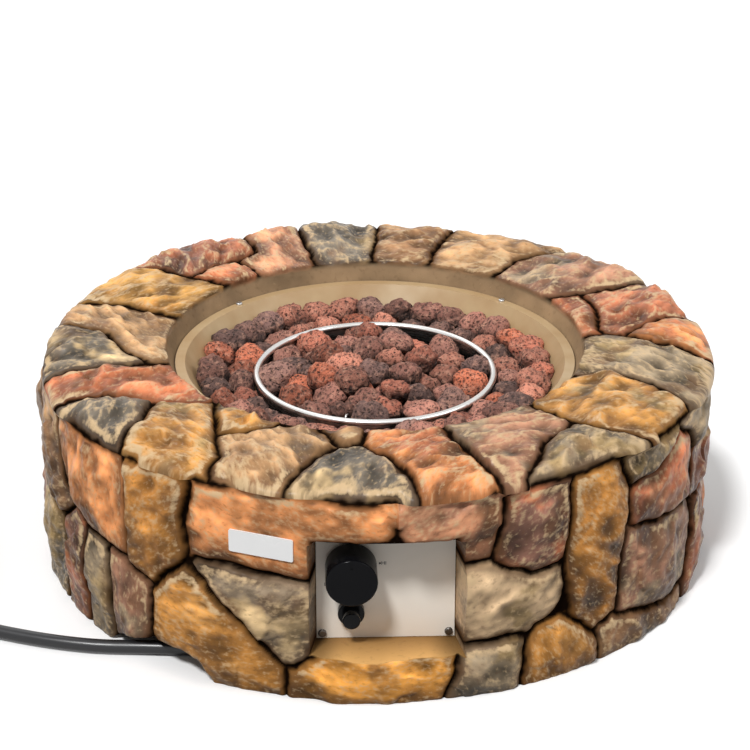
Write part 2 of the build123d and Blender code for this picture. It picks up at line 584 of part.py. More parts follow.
def spring(base, axis, radius, wire, length, turns):
    """Wound spring on an axis, between two flat seats."""
    rise = length - 2 * (wire + SPRING_GAP)
    points, directions = [], []
    for step in range(4 * turns + 1):
        turn = math.pi / 2 * step
        height = wire + SPRING_GAP + rise * step / (4 * turns)
        points.append(Vector(radius * math.cos(turn), radius * math.sin(turn), height))
        slope = rise / (2 * math.pi * turns)
        directions.append(Vector(-radius * math.sin(turn), radius * math.cos(turn), slope).normalized())
    return Plane(origin=base, z_dir=axis) * tube_along(biarc_path(points, directions), wire)


# Stone shell


def wall_stone_face(shares, face_share):
    """Middle angle of a wall stone and its face's distance from the centre line."""
    angles = [angle for angle, _ in shares]
    middle, half = (min(angles) + max(angles)) / 2, (max(angles) - min(angles)) / 2
    face_size = STONE_SECTION_SHARES[-1][1]
    return middle, SHELL_RADIUS * face_share * math.cos(math.radians(half * face_size))


def wall_stone(shares, face_share):
    """Stone on the wall, from its root inside the casting to its face."""
    middle, face = wall_stone_face(shares, face_share)
    root = CORE_INNER_RADIUS + STONE_ROOT
    outward, across = around(middle, 1, 0), sideways(middle)
    wires = []
    for depth, size in STONE_SECTION_SHARES:
        distance = root + (face - root) * depth
        flat = [
            (distance * math.tan(math.radians(angle - middle)), SHELL_HEIGHT * share)
            for angle, share in shares
        ]
        places = [outward * distance + across * side + Vector(0, 0, up) for side, up in shrunk(flat, size)]
        wires.append(Wire.make_polygon(places))
    return Solid.make_loft(wires, ruled=True)


def stepped(shares):
    """A rim stone's outline with more points where it sweeps round the rim."""
    points = []
    for (angle, share), (next_angle, next_share) in zip(shares, shares[1:] + shares[:1]):
        steps = max(1, math.ceil(abs(next_angle - angle) / RIM_STEP_ANGLE))
        for step in range(steps):
            part = step / steps
            points.append((angle + (next_angle - angle) * part, share + (next_share - share) * part))
    return points


def rim_stone(shares, lift_share):
    """Stone on the rim, from its root inside the casting to its top."""
    root = CORE_TOP - STONE_ROOT
    top = CORE_TOP + RIM_STONE_STAND * lift_share
    width = SHELL_RADIUS - RIM_OVERHANG - WELL_RADIUS
    places = [around(angle, WELL_RADIUS + width * share, 0) for angle, share in stepped(shares)]
    flat = [(place.X, place.Y) for place in places]
    wires = []
    for depth, size in STONE_SECTION_SHARES:
        height = root + (top - root) * depth
        wires.append(Wire.make_polygon([(x, y, height) for x, y in shrunk(flat, size)]))
    return Solid.make_loft(wires, ruled=True)


def shell_core():
    """Plain casting under the stones: wall, rim, well and the ledge for the bowl."""
    rim_under = CORE_TOP - RIM_SLAB
    ledge_under = BOWL_SEAT_HEIGHT - LEDGE_THICKNESS
    return turned(
        (CORE_INNER_RADIUS, 0),
        (CORE_RADIUS, 0),
        (CORE_RADIUS, CORE_TOP - RIM_CORNER),
        (CORE_RADIUS - RIM_CORNER, CORE_TOP),
        (WELL_RADIUS + WELL_LIP, CORE_TOP),
        (WELL_FOOT_RADIUS, BOWL_SEAT_HEIGHT),
        (LEDGE_RADIUS, BOWL_SEAT_HEIGHT),
        (LEDGE_RADIUS, ledge_under),
        (WELL_FOOT_RADIUS + LEDGE_COLLAR, ledge_under),
        (WELL_FOOT_RADIUS + LEDGE_COLLAR + RIM_CORNER, rim_under),
        (CORE_INNER_RADIUS - RIM_CORNER, rim_under),
        (CORE_INNER_RADIUS, rim_under - RIM_CORNER),
    )


def upright_outline(half_width, y, low, high):
    """Closed upright rectangle across the front."""
    corners = ((-half_width, low), (half_width, low), (half_width, high), (-half_width, high))
    return Wire.make_polygon([(x, y, z) for x, z in corners])


def niche_pocket():
    """Drafted space of the control niche, from the panel's back to past the stones."""
    mouth = -(SHELL_RADIUS + OVERRUN)
    spread = (NICHE_WIDTH - NICHE_BACK_WIDTH) / (NICHE_MOUTH - PANEL_DISTANCE)
    mouth_width = NICHE_BACK_WIDTH + spread * (PANEL_BACK - mouth)
    back = upright_outline(NICHE_BACK_WIDTH / 2, PANEL_BACK, NICHE_FLOOR, NICHE_TOP)
    front = upright_outline(mouth_width / 2, mouth, NICHE_FLOOR, NICHE_TOP)
    return Solid.make_loft([back, front], ruled=True)


def hose_notch():
    """Space cut from the bottom edge, where the hose goes out."""
    corners = [(math.degrees(math.asin(x / SHELL_RADIUS)), height) for x, height in NOTCH_CORNERS]
    first, last = corners[0][0], corners[-1][0]
    middle = (first + last) / 2
    outward, across = around(middle, 1, 0), sideways(middle)
    corners = [(first, -OVERRUN), *corners, (last, -OVERRUN)]
    wires = []
    for distance in (CORE_INNER_RADIUS * NOTCH_INNER_SHARE, SHELL_RADIUS + OVERRUN):
        wires.append(Wire.make_polygon([
            outward * distance
            + across * (distance * math.tan(math.radians(angle - middle)))
            + Vector(0, 0, height)
            for angle, height in corners
        ]))
    return Solid.make_loft(wires, ruled=True)


def panel_screw_places():
    """Points on the panel's front face where its four screws go."""
    side = NICHE_BACK_WIDTH / 2 - SCREW_INSET
    heights = (NICHE_FLOOR + SCREW_INSET, NICHE_TOP - SCREW_INSET)
    return [Vector(x, PANEL_FRONT, z) for x in (-side, side) for z in heights]


def bowl_screw_places():
    """Points on the ledge where the bowl's screws go."""
    middle = (BOWL_FLANGE_RADIUS + LEDGE_RADIUS) / 2
    turns = [BOWL_SCREW_START + 360 / BOWL_SCREW_COUNT * number for number in range(BOWL_SCREW_COUNT)]
    return [around(turn, middle, BOWL_SEAT_HEIGHT) for turn in turns]


def stone_shell():
    """Casting with its stones, control niche, hose notch and screw holes."""
    stones = []
    for number, shares in enumerate(WALL_STONE_SHARES):
        stones.append(wall_stone(shares, FACE_SHARES[number % len(FACE_SHARES)]))
    for number, shares in enumerate(RIM_STONE_SHARES):
        stones.append(rim_stone(shares, RIM_LIFT_SHARES[number % len(RIM_LIFT_SHARES)]))
    half = NICHE_WIDTH / 2 + NICHE_WALL
    duct = block((-half, -CORE_RADIUS, NICHE_FLOOR - NICHE_WALL), (half, LIP_BACK, NICHE_TOP + NICHE_WALL))
    duct = duct & Solid.make_cylinder(CORE_RADIUS, SHELL_HEIGHT)
    window = NICHE_BACK_WIDTH / 2 - LIP_WIDTH
    opening = block(
        (-window, PANEL_BACK - OVERRUN, NICHE_FLOOR + LIP_WIDTH),
        (window, LIP_BACK + OVERRUN, NICHE_TOP - LIP_WIDTH),
    )
    hole = SCREW_RADIUS + SCREW_CLEARANCE
    depth = Vector(0, PANEL_THICKNESS + SCREW_LENGTH, 0)
    holes = [rod(place, place + depth, hole) for place in panel_screw_places()]
    holes += [rod(place, place - Vector(0, 0, SCREW_LENGTH), hole) for place in bowl_screw_places()]
    return without(joined([shell_core(), *stones, duct]), niche_pocket(), opening, hose_notch(), *holes)


def badge_plate():
    """Blank name plate on the flat face of its stone."""
    middle, face = wall_stone_face(WALL_STONE_SHARES[BADGE_STONE], FACE_SHARES[BADGE_STONE])
    side = face * math.tan(math.radians(BADGE_ANGLE - middle))
    across = sideways(middle)
    place = around(middle, face, BADGE_HEIGHT) + across * side
    outline = RectangleRounded(BADGE_WIDTH, BADGE_TALL, BADGE_CORNER)
    return Plane(origin=place, x_dir=across, z_dir=around(middle, 1, 0)) * extrude(outline, BADGE_THICKNESS)


# Bowl and burner


def fire_bowl():
    """Steel bowl with a flange that lies on the ledge."""
    floor, top = BOWL_FLOOR_HEIGHT, BOWL_SEAT_HEIGHT + BOWL_SHEET
    bowl = turned(
        (NECK_TUBE_RADIUS + HOLE_CLEARANCE, floor - BOWL_SHEET),
        (BOWL_FLOOR_RADIUS, floor - BOWL_SHEET),
        (BOWL_MOUTH_RADIUS + BOWL_SLOPE_SHEET, BOWL_SEAT_HEIGHT),
        (BOWL_FLANGE_RADIUS, BOWL_SEAT_HEIGHT),
        (BOWL_FLANGE_RADIUS, top),
        (BOWL_MOUTH_RADIUS, top),
        (BOWL_FLOOR_RADIUS - BOWL_SLOPE_SHEET, floor),
        (NECK_TUBE_RADIUS + HOLE_CLEARANCE, floor),
    )
    hole = SCREW_RADIUS + HOLE_CLEARANCE
    through = Vector(0, 0, OVERRUN)
    holes = [rod(place - through, place + through, hole) for place in bowl_screw_places()]
    return without(bowl, electrode_hole(), *holes)


def bowl_screws():
    """Pan-head screws through the bowl's flange."""
    screws = []
    for place in bowl_screw_places():
        seat = place + Vector(0, 0, BOWL_SHEET)
        head = rod(seat, seat + Vector(0, 0, SCREW_HEAD_HEIGHT), BOWL_SCREW_HEAD_RADIUS)
        head = rounded(head, Axis.Z, True, SCREW_HEAD_HEIGHT / 2)
        foot = place - Vector(0, 0, SCREW_LENGTH - SCREW_CLEARANCE)
        screws.append(joined([head, rod(foot, seat, SCREW_RADIUS)]))
    return Compound(screws)


def burner_pan():
    """Round pan with a rolled rim, on the bowl's floor."""
    floor, inside = BOWL_FLOOR_HEIGHT, PAN_RADIUS - PAN_SHEET
    bead_height = PAN_TOP - PAN_BEAD_RADIUS
    hole = NECK_TUBE_RADIUS + HOLE_CLEARANCE
    pan = turned(
        (hole, floor),
        (PAN_RADIUS, floor),
        (PAN_RADIUS, bead_height),
        (inside, bead_height),
        (inside, PAN_FLOOR_TOP),
        (hole, PAN_FLOOR_TOP),
    )
    bead = Pos(0, 0, bead_height) * Torus(PAN_RADIUS - PAN_SHEET / 2, PAN_BEAD_RADIUS)
    return without(joined([pan, bead]), electrode_hole())


def electrode_hole():
    """Hole for the spark electrode in the pan and the bowl."""
    foot = Vector(CONTROL_X, ELECTRODE_Y, BOWL_FLOOR_HEIGHT - OVERRUN)
    return rod(foot, foot + Vector(0, 0, 2 * OVERRUN), CERAMIC_RADIUS + HOLE_CLEARANCE)


def burner_ring():
    """Ring burner with its hub, two feed arms, neck and flame ports."""
    centre = Vector(0, 0, RING_HEIGHT)
    side = Vector(RING_RADIUS, 0, 0)
    wall = RING_TUBE_WALL
    hub = rod((0, 0, PAN_FLOOR_TOP), (0, 0, HUB_TOP), HUB_RADIUS)
    neck = rod((0, 0, NECK_FOOT), (0, 0, PAN_FLOOR_TOP), NECK_TUBE_RADIUS)
    arms = rod(centre - side, centre + side, ARM_RADIUS)
    place = Pos(0, 0, RING_HEIGHT) * Rot(0, 0, RING_SEAM_ANGLE)
    ring = place * Torus(RING_RADIUS, RING_TUBE_RADIUS)
    bores = [
        place * Torus(RING_RADIUS, RING_TUBE_RADIUS - wall),
        rod(centre - side, centre + side, ARM_RADIUS - wall),
        rod((0, 0, NECK_FOOT), (0, 0, HUB_TOP - HUB_WALL), NECK_TUBE_RADIUS - NECK_TUBE_WALL),
    ]
    for number in range(PORT_COUNT):
        port = around(360 / PORT_COUNT * (number + 0.5), RING_RADIUS, RING_HEIGHT)
        bores.append(rod(port, port + Vector(0, 0, RING_TUBE_RADIUS + OVERRUN), FLAME_PORT_RADIUS))
    return without(joined([ring, arms, hub, neck]), *bores)


def burner_locknut():
    """Nut under the bowl that holds the burner and the pan."""
    top = Vector(0, 0, BOWL_FLOOR_HEIGHT - BOWL_SHEET)
    foot = top - Vector(0, 0, LOCKNUT_LENGTH)
    return without(hexagon(foot, top, LOCKNUT_FLATS), rod(foot, top, NECK_TUBE_RADIUS + SCREW_CLEARANCE))


def venturi_tube():
    """Air mixer on the burner's neck, with its air holes."""
    top, foot = Vector(0, 0, VENTURI_TOP), Vector(0, 0, VENTURI_FOOT)
    air = foot + Vector(0, 0, JET_LENGTH + 2 * AIR_HOLE_RADIUS)
    side = Vector(VENTURI_RADIUS + OVERRUN, 0, 0)
    return without(
        rod(foot, top, VENTURI_RADIUS),
        rod((0, 0, NECK_FOOT), top, NECK_TUBE_RADIUS + SCREW_CLEARANCE),
        rod(foot, top, VENTURI_THROAT_RADIUS),
        rod(air - side, air + side, AIR_HOLE_RADIUS),
    )


def orifice_elbow():
    """Brass elbow with the gas jet, under the mixer."""
    half = ELBOW_WIDTH / 2
    centre = Vector(0, 0, FEED_HEIGHT)
    jet_top = Vector(0, 0, VENTURI_FOOT + JET_LENGTH)
    boss_end = centre - Vector(0, half + ELBOW_BOSS_LENGTH, 0)
    body = block((-half, -half, FEED_HEIGHT - half), (half, half, VENTURI_FOOT))
    jet = rod((0, 0, VENTURI_FOOT), jet_top, VENTURI_THROAT_RADIUS - JET_PLAY)
    boss = rod(boss_end, centre, ELBOW_BOSS_RADIUS)
    return without(
        joined([body, jet, boss]),
        rod(boss_end, centre, GAS_BORE_RADIUS),
        rod(centre, jet_top, GAS_BORE_RADIUS / 2),
    )


def feed_points():
    """Corners of the gas tube's route from the valve to the elbow."""
    start = on_valve(VALVE_BACK + PORT_LENGTH)
    end = Vector(0, -ELBOW_WIDTH / 2 - ELBOW_BOSS_LENGTH, FEED_HEIGHT)
    return [start, start + Vector(0, FEED_RUN, 0), end - Vector(0, 2 * FEED_RUN, 0), end]


def feed_tube():
    """Bent gas tube from the valve to the elbow."""
    path = FilletPolyline(*feed_points(), radius=FEED_BEND)
    tube = tube_along(path.edges(), FEED_RADIUS)
    return without(tube, tube_along(path.edges(), FEED_RADIUS - FEED_WALL))


def feed_nuts():
    """Flare nuts at the two ends of the gas tube."""
    start, *_, end = feed_points()
    length = Vector(0, FEED_NUT_LENGTH, 0)
    hole = FEED_RADIUS + SCREW_CLEARANCE
    nuts = []
    for low, high in ((start, start + length), (end - length, end)):
        nuts.append(without(hexagon(low, high, FEED_NUT_FLATS), rod(low, high, hole)))
    return Compound(nuts)


# Spark electrode and its lead


def electrode_ceramic():
    """Ceramic insulator through the pan and the bowl."""
    foot = Vector(CONTROL_X, ELECTRODE_Y, BOWL_FLOOR_HEIGHT - CERAMIC_BELOW)
    seat = Vector(CONTROL_X, ELECTRODE_Y, PAN_FLOOR_TOP)
    top = seat + Vector(0, 0, CERAMIC_ABOVE)
    collar = rod(seat, seat + Vector(0, 0, CERAMIC_COLLAR_LENGTH), CERAMIC_COLLAR_RADIUS)
    return joined([rod(foot, top, CERAMIC_RADIUS), collar])


def electrode_rod():
    """Bent steel spark rod on the insulator."""
    start = Vector(CONTROL_X, ELECTRODE_Y, PAN_FLOOR_TOP + CERAMIC_ABOVE)
    bend = start + Vector(0, 0, ELECTRODE_RISE)
    inward = Vector(-CONTROL_X, -ELECTRODE_Y, 0).normalized()
    path = FilletPolyline(start, bend, bend + inward * ELECTRODE_REACH, radius=ELECTRODE_BEND)
    return tube_along(path.edges(), ELECTRODE_RADIUS)


def electrode_nut():
    """Round nut under the bowl that holds the insulator."""
    top = Vector(CONTROL_X, ELECTRODE_Y, BOWL_FLOOR_HEIGHT - BOWL_SHEET)
    foot = top - Vector(0, 0, ELECTRODE_NUT_LENGTH)
    return without(rod(foot, top, ELECTRODE_NUT_RADIUS), rod(foot, top, CERAMIC_RADIUS + SCREW_CLEARANCE))


def ignition_wire():
    """High-tension lead from the igniter's terminal to the electrode."""
    start = on_igniter(BARREL_BACK - TERMINAL_SEAT + TERMINAL_LENGTH)
    end = Vector(CONTROL_X, ELECTRODE_Y, BOWL_FLOOR_HEIGHT - CERAMIC_BELOW)
    corners = (start, start + Vector(0, LEAD_RUN, 0), end - Vector(0, 0, LEAD_RISE), end)
    return tube_along(FilletPolyline(*corners, radius=LEAD_BEND).edges(), LEAD_RADIUS)


# Controls


def control_panel():
    """Steel plate at the back of the niche."""
    side = NICHE_BACK_WIDTH / 2 - PANEL_GAP
    plate = block((-side, PANEL_FRONT, NICHE_FLOOR + PANEL_GAP), (side, PANEL_BACK, NICHE_TOP - PANEL_GAP))
    through = Vector(0, PANEL_THICKNESS, 0)
    holes = [
        rod(on_valve(PANEL_FRONT), on_valve(PANEL_BACK), NECK_RADIUS + HOLE_CLEARANCE),
        rod(on_igniter(PANEL_FRONT), on_igniter(PANEL_BACK), BARREL_RADIUS + HOLE_CLEARANCE),
    ]
    holes += [rod(place, place + through, SCREW_RADIUS + HOLE_CLEARANCE) for place in panel_screw_places()]
    return without(plate, *holes)


def panel_screws():
    """Four screws that hold the plate to the casting."""
    screws = []
    for place in panel_screw_places():
        head = rod(place - Vector(0, SCREW_HEAD_HEIGHT, 0), place, SCREW_HEAD_RADIUS)
        head = rounded(head, Axis.Y, False, SCREW_HEAD_HEIGHT / 2)
        tip = place + Vector(0, PANEL_THICKNESS + SCREW_LENGTH - SCREW_CLEARANCE, 0)
        screws.append(joined([head, rod(place, tip, SCREW_RADIUS)]))
    return Compound(screws)


def d_bar(front, back, play):
    """Bar with the stem's flattened section and some play, on the valve's axis."""
    radius = STEM_RADIUS + play
    flat = VALVE_HEIGHT - (STEM_RADIUS - STEM_FLAT) - play
    waste = block(
        (CONTROL_X - OVERRUN, front, flat - OVERRUN),
        (CONTROL_X + OVERRUN, back, flat),
    )
    return without(rod(on_valve(front), on_valve(back), radius), waste)


def valve_cap():
    """Flange and threaded neck that hold the valve on the plate."""
    half = VALVE_WIDTH / 2
    neck_front = PANEL_FRONT - NECK_LENGTH
    flange = block(
        (CONTROL_X - half, PANEL_BACK, VALVE_HEIGHT - half),
        (CONTROL_X + half, CAP_BACK, VALVE_HEIGHT + half),
    )
    neck = rod(on_valve(neck_front), on_valve(PANEL_BACK), NECK_RADIUS)
    bore = rod(on_valve(neck_front), on_valve(CAP_BACK), STEM_RADIUS + STEM_PLAY)
    return without(joined([flange, neck]), bore)


def valve_nut():
    """Nut on the neck, on the plate's front."""
    front, back = on_valve(PANEL_FRONT - VALVE_NUT_LENGTH), on_valve(PANEL_FRONT)
    return without(hexagon(front, back, VALVE_NUT_FLATS), rod(front, back, NECK_RADIUS + SCREW_CLEARANCE))


def valve_body():
    """Brass valve block with its spring chamber, plug bore, inlet and outlet."""
    half = VALVE_WIDTH / 2
    inlet = Vector(CONTROL_X, INLET_Y, VALVE_HEIGHT)
    inlet_end = inlet - Vector(half + PORT_LENGTH, 0, 0)
    outlet_end = on_valve(VALVE_BACK + PORT_LENGTH)
    body = block(
        (CONTROL_X - half, CAP_BACK, VALVE_HEIGHT - half),
        (CONTROL_X + half, VALVE_BACK, VALVE_HEIGHT + half),
    )
    return without(
        joined([body, rod(inlet_end, inlet, PORT_RADIUS), rod(on_valve(PLUG_BACK), outlet_end, PORT_RADIUS)]),
        rod(on_valve(CAP_BACK), on_valve(PLUG_FRONT), CHAMBER_RADIUS),
        rod(on_valve(CAP_BACK), on_valve(PLUG_BACK + PLUG_END_GAP), PLUG_RADIUS + PLUG_PLAY),
        rod(inlet_end, inlet, GAS_BORE_RADIUS),
        rod(on_valve(PLUG_BACK), outlet_end, GAS_BORE_RADIUS),
    )


def valve_plug():
    """Turning plug with a socket for the stem and a gas passage."""
    crossing = on_valve(INLET_Y)
    return without(
        rod(on_valve(PLUG_FRONT), on_valve(PLUG_BACK), PLUG_RADIUS),
        d_bar(PLUG_FRONT, PLUG_FRONT + SOCKET_DEPTH, STEM_PLAY),
        rod(crossing - Vector(0, 0, PLUG_RADIUS), crossing, GAS_BORE_RADIUS),
        rod(crossing, on_valve(PLUG_BACK), GAS_BORE_RADIUS),
    )


def valve_stem():
    """Stem between the knob and the plug, with the collar for the spring."""
    collar = CAP_BACK + COLLAR_GAP
    shaft = d_bar(KNOB_BORE_FRONT + STEM_TIP_GAP, PLUG_FRONT + STEM_ENGAGE, 0)
    return joined([shaft, rod(on_valve(collar), on_valve(collar + COLLAR_LENGTH), COLLAR_RADIUS)])


def valve_spring():
    """Spring that pushes the stem forward."""
    base = CAP_BACK + COLLAR_GAP + COLLAR_LENGTH
    length = PLUG_FRONT - base
    radius, wire, turns = VALVE_SPRING_RADIUS, VALVE_SPRING_WIRE, VALVE_SPRING_TURNS
    return spring(on_valve(base), (0, 1, 0), radius, wire, length, turns)


def set_screw_axis():
    """Tip of the set screw on the stem's flat, and the way it comes in."""
    place = KNOB_BACK - KNOB_HOLLOW_DEPTH - SET_SCREW_PLACE
    return on_valve(place) - Vector(0, 0, STEM_RADIUS - STEM_FLAT), Vector(0, 0, -1)


def control_knob():
    """Gas knob with a hollow back, a bore for the stem and a pointer groove."""
    hollow = KNOB_BACK - KNOB_HOLLOW_DEPTH
    knob = rounded(rod(on_valve(KNOB_FRONT), on_valve(KNOB_BACK), KNOB_RADIUS), Axis.Y, False, KNOB_EDGE)
    pointer = block(
        (CONTROL_X - POINTER_WIDTH / 2, KNOB_FRONT - OVERRUN, VALVE_HEIGHT + KNOB_RADIUS - POINTER_LENGTH),
        (CONTROL_X + POINTER_WIDTH / 2, KNOB_FRONT + POINTER_DEPTH, VALVE_HEIGHT + KNOB_RADIUS + OVERRUN),
    )
    tip, way = set_screw_axis()
    return without(
        knob,
        rod(on_valve(hollow), on_valve(KNOB_BACK), KNOB_HOLLOW_RADIUS),
        d_bar(KNOB_BORE_FRONT, hollow, STEM_PLAY),
        pointer,
        rod(tip, tip + way * KNOB_RADIUS, SET_SCREW_RADIUS + SCREW_CLEARANCE),
    )


def knob_set_screw():
    """Screw that holds the knob on the stem."""
    tip, way = set_screw_axis()
    return rod(tip, tip + way * SET_SCREW_LENGTH, SET_SCREW_RADIUS)


def igniter_body():
    """Igniter's bezel, barrel and piezo end in one moulding."""
    front = PANEL_FRONT - BEZEL_LENGTH
    bezel = rounded(rod(on_igniter(front), on_igniter(PANEL_FRONT), BEZEL_RADIUS), Axis.Y, False, BEZEL_EDGE)
    barrel = rod(on_igniter(PANEL_FRONT), on_igniter(BARREL_BACK), BARREL_RADIUS)
    return without(
        joined([bezel, barrel]),
        rod(on_igniter(front), on_igniter(PIEZO_FRONT), BUTTON_RADIUS + BUTTON_PLAY),
        rod(
            on_igniter(BARREL_BACK - TERMINAL_SEAT),
            on_igniter(BARREL_BACK),
            TERMINAL_RADIUS + SCREW_CLEARANCE,
        ),
    )


def igniter_nut():
    """Nut behind the plate that holds the igniter."""
    front, back = on_igniter(PANEL_BACK), on_igniter(PANEL_BACK + IGNITER_NUT_LENGTH)
    return without(hexagon(front, back, IGNITER_NUT_FLATS), rod(front, back, BARREL_RADIUS + SCREW_CLEARANCE))


def igniter_button():
    """Push button of the igniter."""
    button = rod(on_igniter(BUTTON_FRONT), on_igniter(BUTTON_BACK), BUTTON_RADIUS)
    return rounded(button, Axis.Y, False, BUTTON_EDGE)


def igniter_spring():
    """Spring between the button and the piezo end."""
    length = PIEZO_FRONT - BUTTON_BACK
    base = on_igniter(BUTTON_BACK)
    return spring(base, (0, 1, 0), IGNITER_SPRING_RADIUS, IGNITER_SPRING_WIRE, length, IGNITER_SPRING_TURNS)


def igniter_terminal():
    """Pin for the lead at the igniter's back."""
    seat = BARREL_BACK - TERMINAL_SEAT
    return rod(on_igniter(seat), on_igniter(seat + TERMINAL_LENGTH), TERMINAL_RADIUS)


# Lava rocks


def spread_directions(count):
    """Directions spread evenly over a ball."""
    golden = math.pi * (3 - math.sqrt(5))
    result = []
    for number in range(count):
        up = 1 - 2 * (number + 0.5) / count
        ring = math.sqrt(1 - up * up)
        result.append(Vector(ring * math.cos(golden * number), ring * math.sin(golden * number), up))
    return result


def plane_limits(centre, inside_pan):
    """Planes, each a direction and a least distance along it, that keep a rock off the burner and the pan."""
    outward = Vector(centre.X, centre.Y, 0)
    distance = outward.length
    outward = outward.normalized()
    if not inside_pan:
        beside = PAN_RADIUS + PAN_BEAD_RADIUS + ROCK_GAP
        return [(Vector(0, 0, 1), BOWL_FLOOR_HEIGHT + ROCK_GAP), (outward, beside)]
    reach = RING_TUBE_RADIUS + ROCK_GAP
    seat = PAN_FLOOR_TOP + ROCK_GAP
    ring_top = RING_HEIGHT + reach
    limits = []
    if abs(distance - RING_RADIUS) < reach + ROCK_PERCH:
        seat = ring_top
    elif distance > RING_RADIUS:
        limits.append((outward, RING_RADIUS + reach))
    else:
        limits.extend((around(turn, 1, 0), reach - RING_RADIUS) for turn in range(0, 360, RING_LIMIT_STEP))
    if distance < HUB_RADIUS + ROCK_PERCH:
        seat = HUB_TOP + ROCK_GAP
    elif distance < RING_RADIUS:
        limits.append((outward, HUB_RADIUS + ROCK_GAP))
    if distance < RING_RADIUS and abs(centre.Y) < ARM_RADIUS + ROCK_PERCH:
        seat = max(seat, ring_top)
    elif distance < RING_RADIUS:
        limits.append((Vector(0, math.copysign(1, centre.Y), 0), ARM_RADIUS + ROCK_GAP))
    electrode = Vector(CONTROL_X, ELECTRODE_Y, 0)
    away = (Vector(centre.X, centre.Y, 0) - electrode).normalized()
    limits.append((away, electrode.dot(away) + CERAMIC_COLLAR_RADIUS + ELECTRODE_RADIUS))
    return limits + [(Vector(0, 0, 1), seat)]


def wall_room(point, inside_pan):
    """Room left between a point and the round wall outside it."""
    radius = math.hypot(point.X, point.Y)
    if inside_pan:
        return PAN_RADIUS - PAN_SHEET - PAN_BEAD_RADIUS - ROCK_GAP - radius
    rise = (point.Z - BOWL_FLOOR_HEIGHT) / (BOWL_SEAT_HEIGHT + BOWL_SHEET - BOWL_FLOOR_HEIGHT)
    foot = BOWL_FLOOR_RADIUS - BOWL_SLOPE_SHEET
    return foot + (BOWL_MOUTH_RADIUS - foot) * rise - 2 * ROCK_GAP - radius


def rock_seeds():
    """Middle, size and side of the pan of every rock."""
    chance = random.Random(ROCK_SEED)
    golden = math.degrees(math.pi * (3 - math.sqrt(5)))
    bed = PAN_FLOOR_TOP + ROCK_BED_RISE
    room = PAN_RADIUS - ROCK_BED_RISE
    electrode = Vector(CONTROL_X, ELECTRODE_Y, 0)
    seeds = []
    for count, spread, size, height in (
        (INNER_ROCK_COUNT, room, INNER_ROCK_SIZE, bed),
        (MOUND_ROCK_COUNT, MOUND_RADIUS, MOUND_ROCK_SIZE, bed + MOUND_RISE),
    ):
        for number in range(count):
            place = around(golden * number, spread * math.sqrt((number + 0.5) / count), height)
            if (Vector(place.X, place.Y, 0) - electrode).length > ELECTRODE_ROOM:
                seeds.append((place, size * chance.uniform(*ROCK_SQUEEZE_SHARES), True))
    inner = PAN_RADIUS + PAN_BEAD_RADIUS
    outer = BOWL_FLOOR_RADIUS + BOWL_SEAT_HEIGHT - BOWL_FLOOR_HEIGHT - 2 * ROCK_BED_RISE
    for row, (count, share) in enumerate(zip(OUTER_ROW_COUNTS, OUTER_ROW_SHARES)):
        for number in range(count):
            radius = inner + (outer - inner) * share
            height = BOWL_FLOOR_HEIGHT + ROCK_BED_RISE + OUTER_ROW_RISE * row
            place = around(360 * (number + 0.5 * row) / count, radius, height)
            seeds.append((place, OUTER_ROCK_SIZE * chance.uniform(*ROCK_SQUEEZE_SHARES), False))
    return seeds


def lava_rocks(inside_pan):
    """Broken rocks on one side of the pan's wall, each kept clear of everything round it."""
    chance = random.Random(ROCK_SEED)
    seeds = [seed for seed in rock_seeds() if seed[2] == inside_pan]
    rocks = []
    for centre, size, _ in seeds:
        limits = plane_limits(centre, inside_pan)
        for other, other_size, _ in seeds:
            apart = (centre - other).length
            if other is not centre and apart < size + other_size:
                away = (centre - other).normalized()
                split = other + away * (apart * other_size / (size + other_size))
                limits.append((away, split.dot(away) + ROCK_GAP))
        turns = [chance.uniform(0, 360) for _ in range(3)]
        flat = chance.uniform(*ROCK_FLAT_SHARES)
        corners = []
        for direction in spread_directions(ROCK_CORNERS):
            for axis, turn in zip((Axis.Z, Axis.X, Axis.Z), turns):
                direction = direction.rotate(axis, turn)
            reach = size * chance.uniform(*ROCK_SQUEEZE_SHARES)
            arm = Vector(direction.X, direction.Y, direction.Z * flat) * reach
            share = 1.0
            while share > ROCK_LEAST_SHARE:
                corner = centre + arm * share
                clear = all(corner.dot(way) > least for way, least in limits)
                if clear and wall_room(corner, inside_pan) > 0:
                    corners.append(corner)
                    break
                share -= ROCK_PULL_SHARE
        if len(corners) > ROCK_CORNERS / 2:
            rocks.append(ConvexPolyhedron(corners))
    print("rocks", len(rocks), "of", len(seeds))
    return Compound(rocks)


# Gas hose and its fittings


def inlet_elbow():
    """Brass elbow from the valve's inlet down to the hose."""
    corner = Vector(INLET_X, INLET_Y, VALVE_HEIGHT)
    start = corner + Vector(INLET_REACH, 0, 0)
    foot = Vector(INLET_X, INLET_Y, INLET_FOOT)
    ball = Pos(*corner) * Sphere(PORT_RADIUS)
    return without(
        joined([rod(start, corner, PORT_RADIUS), ball, rod(corner, foot, PORT_RADIUS)]),
        rod(start, corner, GAS_BORE_RADIUS),
        rod(corner + Vector(0, 0, GAS_BORE_RADIUS), foot, GAS_BORE_RADIUS),
    )


def inlet_nut():
    """Nut between the elbow and the hose's end."""
    top, foot = Vector(INLET_X, INLET_Y, INLET_FOOT), Vector(INLET_X, INLET_Y, FERRULE_TOP)
    return without(hexagon(foot, top, INLET_NUT_FLATS), rod(foot, top, GAS_BORE_RADIUS))


